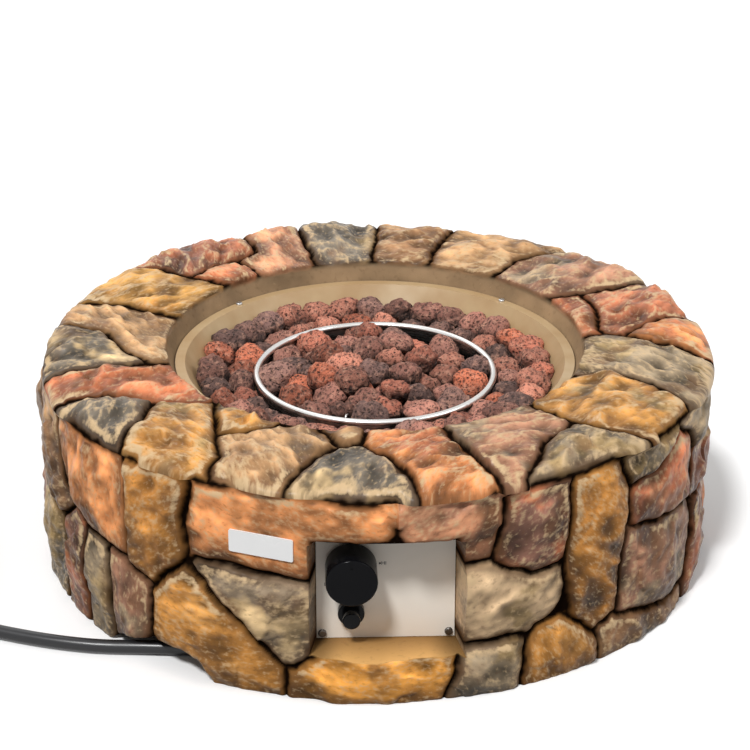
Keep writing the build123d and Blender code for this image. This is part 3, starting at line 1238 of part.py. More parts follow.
def ferrule(start, end):
    """Crimped metal sleeve at an end of the hose."""
    start, end = Vector(start), Vector(end)
    along = (end - start).normalized()
    grooves = []
    for share in FERRULE_GROOVE_SHARES:
        middle = start + (end - start) * share
        low, high = middle - along * (FERRULE_GROOVE_WIDTH / 2), middle + along * (FERRULE_GROOVE_WIDTH / 2)
        band = rod(low, high, FERRULE_RADIUS + FERRULE_GROOVE)
        grooves.append(without(band, rod(low, high, FERRULE_RADIUS - FERRULE_GROOVE)))
    return without(rod(start, end, FERRULE_RADIUS), rod(start, end, GAS_BORE_RADIUS), *grooves)


def coil_place(wound):
    """Point on the coil's middle line at a number of turns from its middle."""
    turn = math.radians(COIL_START_ANGLE - 360 * (wound + COIL_TURNS / 2))
    climb = COIL_CLIMB_TURNS / 2
    if abs(wound) < climb:
        radius = COIL_INNER_RADIUS + COIL_PITCH * (wound * wound / (2 * climb) + climb / 2)
        part = (wound + climb) / (2 * climb)
        height = COIL_HEIGHT + COIL_LAYER * (3 - 2 * part) * part * part
    else:
        radius = COIL_INNER_RADIUS + COIL_PITCH * abs(wound)
        height = COIL_HEIGHT if wound < 0 else COIL_TOP
    return Vector(COIL_X + radius * math.cos(turn), COIL_Y + radius * math.sin(turn), height)


def coil_way(wound):
    """Direction of the coil's middle line at a number of turns from its middle."""
    return (coil_place(wound + COIL_SAMPLE) - coil_place(wound - COIL_SAMPLE)).normalized()


def coil_line():
    """Points and directions of the coil, a quarter turn to a step at most."""
    steps = math.ceil(4 * COIL_TURNS)
    wounds = [COIL_TURNS * (step / steps - 0.5) for step in range(steps + 1)]
    points = [coil_place(wound) for wound in wounds]
    ways = [coil_way(wound) for wound in wounds]
    ways[-1] = Vector(0, 1, 0)
    return points, ways


def hose_coil():
    """Unseen length of the hose, wound in two layers."""
    points, ways = coil_line()
    lead = points[0] - ways[0] * (2 * HOSE_RADIUS)
    tail = points[-1] + ways[-1] * COIL_TAIL
    edges = [Line(lead, points[0]), *biarc_path(points, ways), Line(points[-1], tail)]
    coil = tube_along(edges, HOSE_RADIUS)
    length = sum(edge.length for edge in edges)
    print("coil length", length, "volume share", coil.volume / (math.pi * HOSE_RADIUS ** 2 * length))
    samples = [coil_place(COIL_TURNS * (number / COIL_CHECKS - 0.5)) for number in range(COIL_CHECKS + 1)]
    apart = COIL_CHECKS // (2 * COIL_WHOLE_TURNS)
    nearest = min(
        (samples[i] - samples[j]).length
        for i in range(len(samples)) for j in range(i + apart, len(samples))
    )
    print("coil least gap", nearest - 2 * HOSE_RADIUS)
    return coil


def hose_corners():
    """Corners of the hose's route from its ferrule to the coil."""
    points, ways = coil_line()
    coil_start = points[0] - ways[0] * (2 * HOSE_RADIUS)
    start = Vector(INLET_X, INLET_Y, FERRULE_TOP - FERRULE_LENGTH)
    drop = [start, start - Vector(0, 0, HOSE_DROP)]
    lie = [Vector(INLET_X + x, INLET_Y + y, z) for x, y, z in HOSE_STEPS]
    return drop + lie + [coil_start - ways[0] * HOSE_LEAD, coil_start]


def gas_hose():
    """Hose from the valve, out through the notch and over the ground to the coil."""
    corners = hose_corners()
    runs = [(b - a).length for a, b in zip(corners, corners[1:])]
    radii = []
    for a, b, c, before, after in zip(corners, corners[1:], corners[2:], runs, runs[1:]):
        bend = math.radians((b - a).get_angle(c - b))
        radii.append(HOSE_BEND_SHARE * min(before, after) / math.tan(bend / 2))
    print("hose radii", [round(radius) for radius in radii])
    path = FilletPolyline(*corners, radius=radii)
    hose = tube_along(path.edges(), HOSE_RADIUS)
    share = hose.volume / (math.pi * HOSE_RADIUS ** 2 * path.length)
    print("hose length", path.length, "volume share", share)
    return hose


def coil_tie():
    """Flat band round all the turns of the coil on one side."""
    half_turn = 0.5
    inner, outer = coil_place(half_turn), coil_place(COIL_WHOLE_TURNS / 2)
    outward = Vector(outer.X - inner.X, outer.Y - inner.Y, 0)
    width = outward.length + 2 * (HOSE_RADIUS + TIE_SIDE_GAP)
    tall = COIL_LAYER + 2 * (HOSE_RADIUS + TIE_GAP)
    middle = Vector((inner.X + outer.X) / 2, (inner.Y + outer.Y) / 2, (COIL_HEIGHT + COIL_TOP) / 2)
    outside = RectangleRounded(width + 2 * TIE_BAND, tall + 2 * TIE_BAND, TIE_CORNER)
    inside = RectangleRounded(width, tall, TIE_CORNER - TIE_BAND)
    across = outward.normalized().cross(Vector(0, 0, 1))
    plane = Plane(origin=middle - across * (TIE_WIDTH / 2), x_dir=outward, z_dir=across)
    return plane * extrude(outside - inside, TIE_WIDTH)


# Regulator


def on_regulator(y):
    """Point on the regulator's line at a distance along Y."""
    return Vector(REGULATOR_X, y, COIL_TOP)


def regulator_top():
    """Height of the joint between the regulator's body and its bonnet."""
    return COIL_TOP + REGULATOR_HEIGHT / 2


def regulator_body():
    """Cast regulator body with its two ports."""
    foot = Vector(REGULATOR_X, BODY_Y, COIL_TOP - REGULATOR_HEIGHT / 2)
    top = Vector(REGULATOR_X, BODY_Y, regulator_top())
    disc = rounded(rod(foot, top, REGULATOR_RADIUS), Axis.Z, False, REGULATOR_EDGE)
    ends = (on_regulator(REGULATOR_Y + FERRULE_LENGTH), on_regulator(NIPPLE_Y))
    return without(
        joined([disc, rod(*ends, REGULATOR_PORT_RADIUS)]),
        rod(*ends, GAS_BORE_RADIUS),
        *bonnet_screw_holes(),
    )


def bonnet_screw_places():
    """Points on the bonnet's flange where its screws go."""
    circle = (BONNET_RADIUS + REGULATOR_RADIUS) / 2 + SCREW_CLEARANCE
    centre = Vector(REGULATOR_X, BODY_Y, 0)
    turns = [360 / BONNET_SCREW_COUNT * number for number in range(BONNET_SCREW_COUNT)]
    return [centre + around(turn, circle, regulator_top() + BONNET_FLANGE) for turn in turns]


def bonnet_screw_holes():
    """Holes for the bonnet's screws."""
    down = Vector(0, 0, -BONNET_SCREW_LENGTH - SCREW_CLEARANCE)
    radius = BONNET_SCREW_RADIUS + SCREW_CLEARANCE
    return [rod(place, place + down, radius) for place in bonnet_screw_places()]


def regulator_bonnet():
    """Bonnet over the regulator's spring, with a vent."""
    foot = Vector(REGULATOR_X, BODY_Y, regulator_top())
    flange_top, top = foot + Vector(0, 0, BONNET_FLANGE), foot + Vector(0, 0, BONNET_HEIGHT)
    dome = rounded(rod(foot, top, BONNET_RADIUS), Axis.Z, True, BONNET_EDGE)
    vent = top + Vector(BONNET_RADIUS / 2, 0, 0)
    return without(
        joined([rod(foot, flange_top, REGULATOR_RADIUS), dome]),
        rod(vent - Vector(0, 0, BONNET_FLANGE), vent, VENT_RADIUS),
        *bonnet_screw_holes(),
    )


def regulator_screws():
    """Screws that hold the bonnet."""
    screws = []
    for place in bonnet_screw_places():
        head = rod(place, place + Vector(0, 0, BONNET_SCREW_HEAD_HEIGHT), BONNET_SCREW_HEAD_RADIUS)
        shank = rod(place - Vector(0, 0, BONNET_SCREW_LENGTH), place, BONNET_SCREW_RADIUS)
        screws.append(joined([head, shank]))
    return Compound(screws)


def inlet_nipple():
    """Brass nipple with a collar that holds the connector nut."""
    end = NIPPLE_Y + NIPPLE_LENGTH
    collar = NIPPLE_Y + NIPPLE_COLLAR_PLACE
    stalk = rod(on_regulator(NIPPLE_Y), on_regulator(end), NIPPLE_RADIUS)
    stalk = chamfer(stalk.edges().sort_by(Axis.Y)[-1], NIPPLE_NOSE)
    ring = rod(on_regulator(collar), on_regulator(collar + NIPPLE_COLLAR_LENGTH), NIPPLE_COLLAR_RADIUS)
    return without(joined([stalk, ring]), rod(on_regulator(NIPPLE_Y), on_regulator(end), NIPPLE_BORE_RADIUS))


def connector_nut():
    """Ribbed hand nut for a gas cylinder, free to turn on the nipple."""
    web = NIPPLE_Y + NIPPLE_COLLAR_PLACE - NUT_GAP
    start, end = web - NUT_WEB, web - NUT_WEB + NUT_LENGTH
    sleeve = rod(on_regulator(start), on_regulator(end), NUT_RADIUS - NUT_RIB_STAND)
    sleeve = rounded(rounded(sleeve, Axis.Y, True, NUT_EDGE), Axis.Y, False, NUT_EDGE)
    ribs = []
    for number in range(NUT_RIB_COUNT):
        turn = 2 * math.pi * number / NUT_RIB_COUNT
        circle = NUT_RADIUS - NUT_RIB_RADIUS
        shift = Vector(circle * math.sin(turn), 0, -circle * math.cos(turn))
        first, last = on_regulator(start + NUT_EDGE), on_regulator(end - NUT_EDGE)
        ribs.append(rod(first + shift, last + shift, NUT_RIB_RADIUS))
    return without(
        joined([sleeve, *ribs]),
        rod(on_regulator(start), on_regulator(end), NIPPLE_RADIUS + NUT_PLAY),
        rod(on_regulator(web), on_regulator(end), NUT_BORE_RADIUS),
    )


# Every piece by its node name
hose_end = Vector(INLET_X, INLET_Y, FERRULE_TOP - FERRULE_LENGTH)
NODES = {
    "stone_shell": stone_shell(),
    "badge_plate": badge_plate(),
    "fire_bowl": fire_bowl(),
    "bowl_screws": bowl_screws(),
    "burner_pan": burner_pan(),
    "burner_ring": burner_ring(),
    "burner_locknut": burner_locknut(),
    "venturi_tube": venturi_tube(),
    "orifice_elbow": orifice_elbow(),
    "feed_tube": feed_tube(),
    "feed_nuts": feed_nuts(),
    "lava_rocks_inner": lava_rocks(True),
    "lava_rocks_outer": lava_rocks(False),
    "electrode_ceramic": electrode_ceramic(),
    "electrode_rod": electrode_rod(),
    "electrode_nut": electrode_nut(),
    "ignition_wire": ignition_wire(),
    "control_panel": control_panel(),
    "panel_screws": panel_screws(),
    "valve_cap": valve_cap(),
    "valve_nut": valve_nut(),
    "valve_body": valve_body(),
    "valve_plug": valve_plug(),
    "valve_stem": valve_stem(),
    "valve_spring": valve_spring(),
    "control_knob": control_knob(),
    "knob_set_screw": knob_set_screw(),
    "igniter_body": igniter_body(),
    "igniter_nut": igniter_nut(),
    "igniter_button": igniter_button(),
    "igniter_spring": igniter_spring(),
    "igniter_terminal": igniter_terminal(),
    "inlet_elbow": inlet_elbow(),
    "inlet_nut": inlet_nut(),
    "hose_ferrule": ferrule(hose_end, (INLET_X, INLET_Y, FERRULE_TOP)),
    "gas_hose": gas_hose(),
    "hose_coil": hose_coil(),
    "coil_tie": coil_tie(),
    "regulator_ferrule": ferrule(on_regulator(REGULATOR_Y), on_regulator(REGULATOR_Y + FERRULE_LENGTH)),
    "regulator_body": regulator_body(),
    "regulator_bonnet": regulator_bonnet(),
    "regulator_screws": regulator_screws(),
    "inlet_nipple": inlet_nipple(),
    "connector_nut": connector_nut(),
}

os.makedirs("parts", exist_ok=True)
for node, shape in NODES.items():
    export_step(shape, f"parts/{node}.step")
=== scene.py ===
"""Looks of a round propane fire pit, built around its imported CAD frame.

The shell's stones are raised from their outlines, the lava rocks are roughened copies of the CAD rocks,
and the hose is one smooth spline. Lengths are metres and angles are degrees from the front.
"""

import json
import logging
import math
from collections.abc import Callable
from dataclasses import dataclass, replace
from enum import Enum

import bpy
import numpy as np
from bpy.types import Material, Mesh, Node, NodeTree, Object
from bpy.types import NodeSocket as Socket
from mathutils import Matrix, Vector
from numpy import ndarray as Array

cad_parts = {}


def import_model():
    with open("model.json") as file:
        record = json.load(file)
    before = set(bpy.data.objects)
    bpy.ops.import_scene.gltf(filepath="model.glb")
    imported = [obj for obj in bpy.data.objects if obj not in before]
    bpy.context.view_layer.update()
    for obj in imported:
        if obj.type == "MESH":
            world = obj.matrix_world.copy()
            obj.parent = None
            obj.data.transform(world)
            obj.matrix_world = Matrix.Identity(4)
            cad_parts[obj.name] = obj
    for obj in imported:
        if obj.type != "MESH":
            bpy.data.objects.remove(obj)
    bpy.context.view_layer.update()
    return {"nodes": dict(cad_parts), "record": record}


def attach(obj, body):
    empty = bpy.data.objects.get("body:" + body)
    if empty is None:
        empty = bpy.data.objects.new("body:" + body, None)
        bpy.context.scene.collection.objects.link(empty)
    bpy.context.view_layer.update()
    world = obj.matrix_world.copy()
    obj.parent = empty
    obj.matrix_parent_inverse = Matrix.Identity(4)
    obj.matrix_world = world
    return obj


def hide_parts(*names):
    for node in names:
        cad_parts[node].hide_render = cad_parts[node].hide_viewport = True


log = logging.getLogger("fire_pit")

Span = tuple[float, float]
Outline = tuple[Span, ...]
Colour = tuple[float, float, float]
Place = tuple[float, float, float]


class StoneColour(Enum):
    """Paint of the cast stones: linear red, green and blue, and the name of the paint that mottles it."""

    GOLDEN = (0.50, 0.240, 0.066, "OLIVE")
    HONEY = (0.40, 0.172, 0.040, "BRONZE")
    FLINT = (0.22, 0.165, 0.110, "CREAM")
    APRICOT = (0.76, 0.300, 0.108, "ORANGE")
    AMBER = (0.70, 0.310, 0.062, "BRONZE")
    BRONZE = (0.45, 0.200, 0.046, "GOLDEN")
    SAND = (0.54, 0.375, 0.220, "OLIVE")
    ORANGE = (0.56, 0.215, 0.078, "RED_BROWN")
    OCHRE = (0.47, 0.250, 0.075, "GOLDEN")
    TAN = (0.45, 0.260, 0.125, "BROWN")
    CREAM = (0.64, 0.450, 0.230, "TAN")
    OLIVE = (0.30, 0.205, 0.092, "SLATE")
    PINK = (0.50, 0.225, 0.120, "MAUVE")
    TERRACOTTA = (0.50, 0.160, 0.072, "PINK")
    RED_BROWN = (0.37, 0.130, 0.066, "PURPLE")
    BROWN = (0.28, 0.150, 0.075, "TAN")
    MAUVE = (0.30, 0.150, 0.092, "GREY")
    PURPLE = (0.20, 0.098, 0.068, "TERRACOTTA")
    GREY = (0.25, 0.190, 0.122, "OLIVE")
    SLATE = (0.135, 0.112, 0.085, "CREAM")

    @property
    def colour(self) -> Array:
        """The paint itself."""
        return np.array(self.value[:3])

    @property
    def mottle(self) -> Array:
        """The paint that lies over it in patches."""
        return StoneColour[self.value[3]].colour


def paints(names: str) -> tuple[StoneColour, ...]:
    """Paints of a row of stones, from their names."""
    return tuple(StoneColour[name] for name in names.split())


# Outlines of the stones on the wall: degrees from the front, and shares of the height
WALL_STONE_SHARES = (
    ((-45.5, 0.905), (-32.5, 0.895), (-34.0, 0.72), (-34.0, 0.58), (-36.5, 0.47), (-40.5, 0.385),
     (-45.0, 0.43)),
    ((-31.5, 0.895), (-12.6, 0.9), (-12.6, 0.56), (-25.0, 0.575), (-32.2, 0.565), (-33.0, 0.72)),
    ((-15.0, 0.9), (1.2, 0.9), (1.0, 0.757), (-15.0, 0.757)),
    ((1.9, 0.905), (17.6, 0.91), (18.0, 0.77), (1.7, 0.757)),
    ((12.4, 0.8), (17.9, 0.8), (15.8, 0.615), (12.4, 0.61)),
    ((18.8, 0.905), (30.3, 0.885), (30.0, 0.72), (28.3, 0.545), (23.0, 0.525), (17.2, 0.6),
     (18.8, 0.76)),
    ((12.3, 0.595), (15.6, 0.6), (18.6, 0.565), (23.0, 0.51), (28.3, 0.53), (29.2, 0.43), (26.3, 0.325),
     (21.5, 0.255), (12.3, 0.245)),
    ((31.2, 0.89), (41.2, 0.865), (42.9, 0.75), (42.3, 0.55), (41.0, 0.38), (40.3, 0.22), (36.0, 0.185),
     (32.8, 0.27), (30.3, 0.45), (30.3, 0.62)),
    ((11.8, 0.225), (21.0, 0.235), (22.2, 0.15), (21.6, 0.0), (9.0, 0.0), (11.3, 0.1)),
    ((-12.0, 0.195), (10.6, 0.195), (10.6, 0.12), (8.4, 0.0), (-15.6, 0.0), (-15.2, 0.12)),
    ((-31.3, 0.545), (-25.0, 0.555), (-12.6, 0.54), (-12.6, 0.2), (-14.5, 0.145), (-16.3, 0.155),
     (-24.0, 0.35), (-31.0, 0.5)),
    ((-36.3, 0.45), (-32.3, 0.485), (-24.4, 0.315), (-17.0, 0.125), (-16.4, 0.0), (-28.6, 0.0),
     (-31.0, 0.1), (-40.6, 0.12), (-40.2, 0.33)),
    ((-41.3, 0.365), (-45.3, 0.405), (-50.8, 0.44), (-49.8, 0.2), (-49.0, 0.07), (-41.3, 0.12)),
    ((-51.3, 0.44), (-57.3, 0.46), (-57.8, 0.25), (-57.5, 0.0), (-51.6, 0.0), (-50.5, 0.2)),
    ((-58.0, 0.465), (-61.0, 0.51), (-66.5, 0.4), (-66.5, 0.0), (-58.3, 0.0), (-58.5, 0.25)),
    ((-46.2, 0.9), (-46.2, 0.46), (-51.0, 0.465), (-57.0, 0.485), (-60.5, 0.54), (-65.5, 0.62),
     (-67.2, 0.78), (-66.5, 0.905)),
    ((-67.4, 0.905), (-68.0, 0.77), (-66.2, 0.6), (-62.0, 0.525), (-66.9, 0.43), (-73.0, 0.45),
     (-81.0, 0.5), (-84.0, 0.72), (-83.5, 0.905)),
    ((-67.2, 0.41), (-73.0, 0.43), (-81.5, 0.48), (-80.5, 0.2), (-80.5, 0.0), (-67.2, 0.0)),
    ((-84.2, 0.905), (-84.8, 0.72), (-82.0, 0.5), (-92.0, 0.45), (-98.0, 0.5), (-99.0, 0.9)),
    ((-81.2, 0.0), (-81.2, 0.2), (-82.3, 0.47), (-92.0, 0.43), (-97.5, 0.4), (-98.5, 0.2), (-96.0, 0.0)),
    ((42.2, 0.9), (57.8, 0.905), (57.0, 0.87), (50.0, 0.785), (43.8, 0.765), (42.2, 0.85)),
    ((44.2, 0.75), (50.0, 0.77), (58.0, 0.86), (62.8, 0.79), (64.5, 0.62), (63.0, 0.51), (52.0, 0.53),
     (44.3, 0.575)),
    ((43.2, 0.555), (52.0, 0.51), (63.0, 0.485), (65.6, 0.36), (63.0, 0.12), (55.0, 0.095),
     (41.8, 0.185), (42.2, 0.38)),
    ((22.8, 0.15), (25.5, 0.235), (28.5, 0.26), (33.0, 0.185), (36.8, 0.08), (36.8, 0.0), (22.2, 0.0)),
    ((37.4, 0.16), (40.0, 0.175), (54.0, 0.085), (62.0, 0.1), (62.5, 0.0), (37.6, 0.0)),
    ((58.6, 0.905), (79.5, 0.905), (80.5, 0.72), (66.0, 0.7), (64.0, 0.79), (59.0, 0.86)),
    ((65.3, 0.62), (66.5, 0.685), (80.8, 0.7), (84.0, 0.55), (80.0, 0.47), (66.5, 0.47), (64.0, 0.51)),
    ((66.4, 0.36), (66.0, 0.455), (80.0, 0.455), (82.5, 0.3), (80.0, 0.0), (63.5, 0.0), (64.4, 0.12)),
    ((80.3, 0.905), (99.0, 0.9), (101.0, 0.66), (92.0, 0.6), (84.6, 0.56), (81.4, 0.71)),
    ((84.4, 0.54), (92.0, 0.585), (101.5, 0.63), (104.0, 0.42), (97.0, 0.3), (83.4, 0.31), (80.8, 0.46)),
    ((83.2, 0.295), (97.0, 0.285), (100.0, 0.0), (80.8, 0.0)),
    ((99.8, 0.9), (117.0, 0.905), (119.0, 0.7), (111.0, 0.56), (102.2, 0.64)),
    ((104.6, 0.42), (102.4, 0.62), (111.0, 0.545), (119.0, 0.53), (121.5, 0.28), (110.0, 0.22),
     (98.3, 0.29)),
    ((98.0, 0.275), (110.0, 0.205), (121.0, 0.26), (122.0, 0.0), (100.8, 0.0)),
    ((117.8, 0.905), (136.0, 0.9), (134.5, 0.66), (128.0, 0.6), (119.8, 0.7)),
    ((119.6, 0.685), (128.0, 0.585), (134.5, 0.64), (139.0, 0.4), (131.0, 0.28), (122.2, 0.29),
     (119.8, 0.53)),
    ((122.6, 0.275), (131.0, 0.265), (140.0, 0.33), (142.0, 0.0), (122.8, 0.0)),
    ((136.8, 0.9), (156.0, 0.905), (157.0, 0.62), (147.0, 0.56), (137.6, 0.54), (135.3, 0.66)),
    ((139.8, 0.41), (137.9, 0.525), (147.0, 0.545), (157.0, 0.6), (160.0, 0.36), (152.0, 0.22),
     (141.0, 0.3)),
    ((140.8, 0.29), (152.0, 0.205), (161.0, 0.25), (162.0, 0.0), (142.8, 0.0)),
    ((156.8, 0.905), (177.0, 0.9), (179.0, 0.66), (168.0, 0.6), (158.0, 0.63)),
    ((157.8, 0.6), (168.0, 0.585), (179.0, 0.645), (183.0, 0.42), (174.0, 0.3), (161.2, 0.27),
     (160.8, 0.36)),
    ((161.8, 0.24), (174.0, 0.285), (184.0, 0.26), (184.5, 0.0), (162.8, 0.0)),
    ((177.8, 0.9), (197.0, 0.905), (199.5, 0.6), (190.0, 0.53), (183.4, 0.44), (179.8, 0.66)),
    ((183.9, 0.42), (190.0, 0.515), (199.5, 0.585), (206.0, 0.33), (196.0, 0.2), (184.8, 0.27)),
    ((185.3, 0.0), (184.8, 0.255), (196.0, 0.185), (206.0, 0.24), (208.0, 0.0)),
    ((197.8, 0.905), (218.0, 0.9), (220.0, 0.7), (209.0, 0.55), (200.3, 0.6)),
    ((206.8, 0.33), (200.5, 0.585), (209.0, 0.535), (220.0, 0.56), (225.0, 0.36), (216.0, 0.26),
     (206.8, 0.25)),
    ((208.8, 0.0), (206.9, 0.235), (216.0, 0.245), (227.0, 0.22), (228.0, 0.0)),
    ((218.8, 0.9), (240.0, 0.905), (239.0, 0.66), (229.0, 0.58), (220.8, 0.6), (220.8, 0.7)),
    ((220.8, 0.585), (229.0, 0.565), (239.0, 0.64), (246.0, 0.42), (238.0, 0.28), (227.8, 0.24),
     (225.8, 0.36)),
    ((228.8, 0.0), (227.8, 0.225), (238.0, 0.265), (247.0, 0.33), (248.0, 0.0)),
    ((240.8, 0.905), (260.3, 0.9), (261.2, 0.5), (250.0, 0.52), (246.5, 0.44), (239.8, 0.66)),
    ((246.8, 0.42), (250.0, 0.5), (261.2, 0.48), (261.0, 0.2), (263.2, 0.0), (248.8, 0.0),
     (247.8, 0.33)),
)

# Outlines of the stones on the rim: degrees from the front, and shares of its width from the inner edge
RIM_STONE_SHARES = (
    ((-15.2, 1.0), (4.0, 1.0), (2.7, 0.75), (-0.3, 0.5), (-5.2, 0.3), (-13.0, 0.64)),
    ((-28.3, 1.0), (-16.2, 1.0), (-14.2, 0.6), (-12.0, 0.28), (-12.6, 0.12), (-20.0, 0.05),
     (-28.6, 0.22), (-34.2, 0.48), (-29.5, 0.78)),
    ((-45.0, 0.02), (-28.0, 0.02), (-29.2, 0.19), (-35.0, 0.43), (-40.0, 0.26)),
    ((-13.5, 0.02), (-5.0, 0.02), (-5.5, 0.22), (-11.2, 0.25)),
    ((-46.2, 1.0), (-29.2, 1.0), (-30.3, 0.79), (-35.5, 0.5), (-40.5, 0.29), (-47.0, 0.1), (-54.5, 0.42),
     (-50.4, 0.68)),
    ((-66.3, 1.0), (-47.0, 1.0), (-51.0, 0.7), (-56.0, 0.46), (-64.0, 0.72)),
    ((-76.0, 1.0), (-67.3, 1.0), (-64.6, 0.69), (-56.4, 0.41), (-49.0, 0.1), (-51.0, 0.02),
     (-75.0, 0.02), (-76.8, 0.6)),
    ((-100.0, 1.0), (-78.0, 1.0), (-77.4, 0.6), (-78.4, 0.23), (-93.4, 0.54)),
    ((-108.5, 1.0), (-101.3, 1.0), (-94.4, 0.51), (-78.6, 0.17), (-76.2, 0.02), (-106.5, 0.02),
     (-110.0, 0.5)),
    ((-126.5, 1.0), (-109.6, 1.0), (-111.0, 0.53), (-107.8, 0.02), (-133.0, 0.02), (-131.6, 0.3),
     (-130.4, 0.7)),
    ((-154.0, 1.0), (-128.0, 1.0), (-131.0, 0.75), (-132.2, 0.42), (-146.0, 0.42), (-152.5, 0.5)),
    ((-146.0, 0.02), (-134.0, 0.02), (-132.8, 0.38), (-146.0, 0.38)),
    ((-166.0, 1.0), (-155.0, 1.0), (-153.3, 0.46), (-147.0, 0.36), (-147.0, 0.02), (-164.0, 0.02)),
    ((-182.0, 1.0), (-167.0, 1.0), (-165.0, 0.02), (-181.0, 0.02)),
    ((162.6, 1.0), (177.0, 1.0), (178.0, 0.02), (163.0, 0.02)),
    ((137.0, 1.0), (161.5, 1.0), (162.4, 0.5), (162.0, 0.02), (142.0, 0.02), (143.0, 0.45),
     (139.0, 0.8)),
    ((117.0, 1.0), (136.0, 1.0), (138.0, 0.78), (141.8, 0.42), (140.8, 0.02), (119.0, 0.02),
     (117.0, 0.3), (116.6, 0.7)),
    ((90.5, 0.02), (118.0, 0.02), (116.0, 0.29), (108.0, 0.24), (93.0, 0.12)),
    ((100.0, 1.0), (115.8, 1.0), (115.6, 0.7), (115.4, 0.33), (107.6, 0.28), (94.0, 0.17), (91.0, 0.36),
     (97.0, 0.6)),
    ((82.2, 1.0), (98.7, 1.0), (95.8, 0.62), (90.2, 0.41), (87.0, 0.6)),
    ((62.8, 1.0), (81.0, 1.0), (85.8, 0.58), (89.3, 0.36), (88.5, 0.02), (64.5, 0.02), (69.0, 0.3),
     (67.0, 0.6)),
    ((48.0, 1.0), (61.5, 1.0), (65.8, 0.6), (67.8, 0.3), (63.0, 0.02), (42.0, 0.05), (43.0, 0.5),
     (45.0, 0.78)),
    ((22.8, 1.0), (46.6, 1.0), (44.2, 0.82), (41.6, 0.54), (31.0, 0.68)),
    ((18.3, 1.0), (21.6, 1.0), (30.2, 0.64), (41.5, 0.46), (41.0, 0.03), (16.5, 0.03), (16.3, 0.22),
     (17.2, 0.6)),
    ((5.2, 1.0), (17.2, 1.0), (16.2, 0.6), (15.3, 0.24), (13.2, 0.02), (-4.0, 0.02), (-4.4, 0.24),
     (0.6, 0.47), (3.7, 0.74)),
)

# Paint of the stones, in the order of their outlines
WALL_COLOURS = paints("""
    HONEY APRICOT APRICOT PINK PINK PURPLE SAND HONEY GREY AMBER FLINT BRONZE MAUVE GREY PURPLE APRICOT
    BROWN OLIVE TAN RED_BROWN OLIVE TERRACOTTA MAUVE BRONZE BROWN GREY RED_BROWN RED_BROWN GOLDEN SLATE
    TERRACOTTA MAUVE OCHRE BROWN PINK GREY GOLDEN OLIVE RED_BROWN TAN SLATE ORANGE BROWN TERRACOTTA GOLDEN
    GREY PINK OLIVE MAUVE OCHRE SLATE RED_BROWN GOLDEN PURPLE
""")
RIM_COLOURS = paints("""
    SLATE TAN GOLDEN BROWN GOLDEN SLATE TERRACOTTA SLATE TAN OCHRE RED_BROWN TERRACOTTA PINK SLATE BROWN
    TAN MAUVE TERRACOTTA RED_BROWN ORANGE GREY GOLDEN GREY MAUVE ORANGE
""")

# Outlines on the wall that are one stone
WALL_FAMILIES = ((1, 2), (3, 4))

JOINT_COLOUR = (0.007, 0.0035, 0.002)
# Dark brown of the random washes and dark flecks, and of the painted shade towards the joints
DARK_WASH_AND_SHADE_COLOUR = (0.085, 0.040, 0.017)
# Pale of the dry-brushing, partly worn paint and partly a painted highlight along the stones' edges
PALE_WEAR_AND_HIGHLIGHT_COLOUR = (0.68, 0.485, 0.275)
LIP_COLOUR = (0.30, 0.200, 0.112)

# Attributes of the vertices that the finishes read
STONE_PAINT = "stone_paint"
STONE_GRAIN = "stone_grain"
ROCK_PAINT = "rock_paint"

# Large odd factors that scramble cell numbers
CELL_FACTORS = (374761393, 668265263, 2246822519)
SEED_FACTOR = 97471
LAST_FACTOR = 1274126177
LARGEST_KEY = 4294967295.0

# How far the octaves of a random field lie apart, in place and in seed
OCTAVE_SHIFT = 13.7
OCTAVE_SEED = 31

MERGE_DISTANCE = 0.00001


# Small tools


def smooth_step(low: float, high: float, values: Array) -> Array:
    """Ramp with soft ends, from 0 where a value is at low to 1 where it is at high."""
    part = np.clip((values - low) / (high - low), 0.0, 1.0)
    return part * part * (3.0 - 2.0 * part)


def mix(first: Array, second: Array, share: Array) -> Array:
    """Values that go from the first to the second as the share goes from 0 to 1."""
    return first * (1.0 - share) + np.asarray(second) * share


def round_places(angle: Array, radius: Array, up: Array) -> Array:
    """Places round the centre line, by degrees from the front, radius and height."""
    turn = np.radians(angle)
    return np.column_stack((radius * np.sin(turn), -radius * np.cos(turn), up))


def lattice(cells: Array, seed: int) -> Array:
    """Random value between 0 and 1 for each whole-number cell.

    Args:
        cells: Cell numbers, three to a row.
        seed: Number that picks one random pattern.

    Returns:
        One value for each row.
    """
    keys = cells.astype(np.int64).astype(np.uint32)
    mixed = np.full(len(keys), seed * SEED_FACTOR + 1, np.uint32)
    for column, factor in enumerate(CELL_FACTORS):
        mixed = mixed + keys[:, column] * np.uint32(factor)
    mixed = (mixed ^ (mixed >> np.uint32(13))) * np.uint32(LAST_FACTOR)
    mixed = mixed ^ (mixed >> np.uint32(16))
    return mixed.astype(np.float64) / LARGEST_KEY


@dataclass(frozen=True)
class Pattern:
    """Soft random field between about -1 and 1.

    It has so many cells in a metre, and so many octaves, each half as coarse and half as strong as the last.
    """

    cells: float
    octaves: int

    def at(self, places: Array, seed: int) -> Array:
        """Values of the field.

        Args:
            places: Places, three numbers to a row.
            seed: Number that picks one random pattern.

        Returns:
            One value for each place.
        """
        total = np.zeros(len(places))
        for octave in range(self.octaves):
            spread = places * self.cells * 2.0 ** octave + OCTAVE_SHIFT * octave
            cells = np.floor(spread)
            part = smooth_step(0.0, 1.0, spread - cells)
            value = np.zeros(len(places))
            for corner in np.ndindex(2, 2, 2):
                step = np.array(corner)
                share = np.prod(np.where(step == 1, part, 1.0 - part), axis=1)
                value += share * lattice(cells + step, seed + OCTAVE_SEED * octave)
            total += 0.5 ** octave * (2.0 * value - 1.0)
        return total


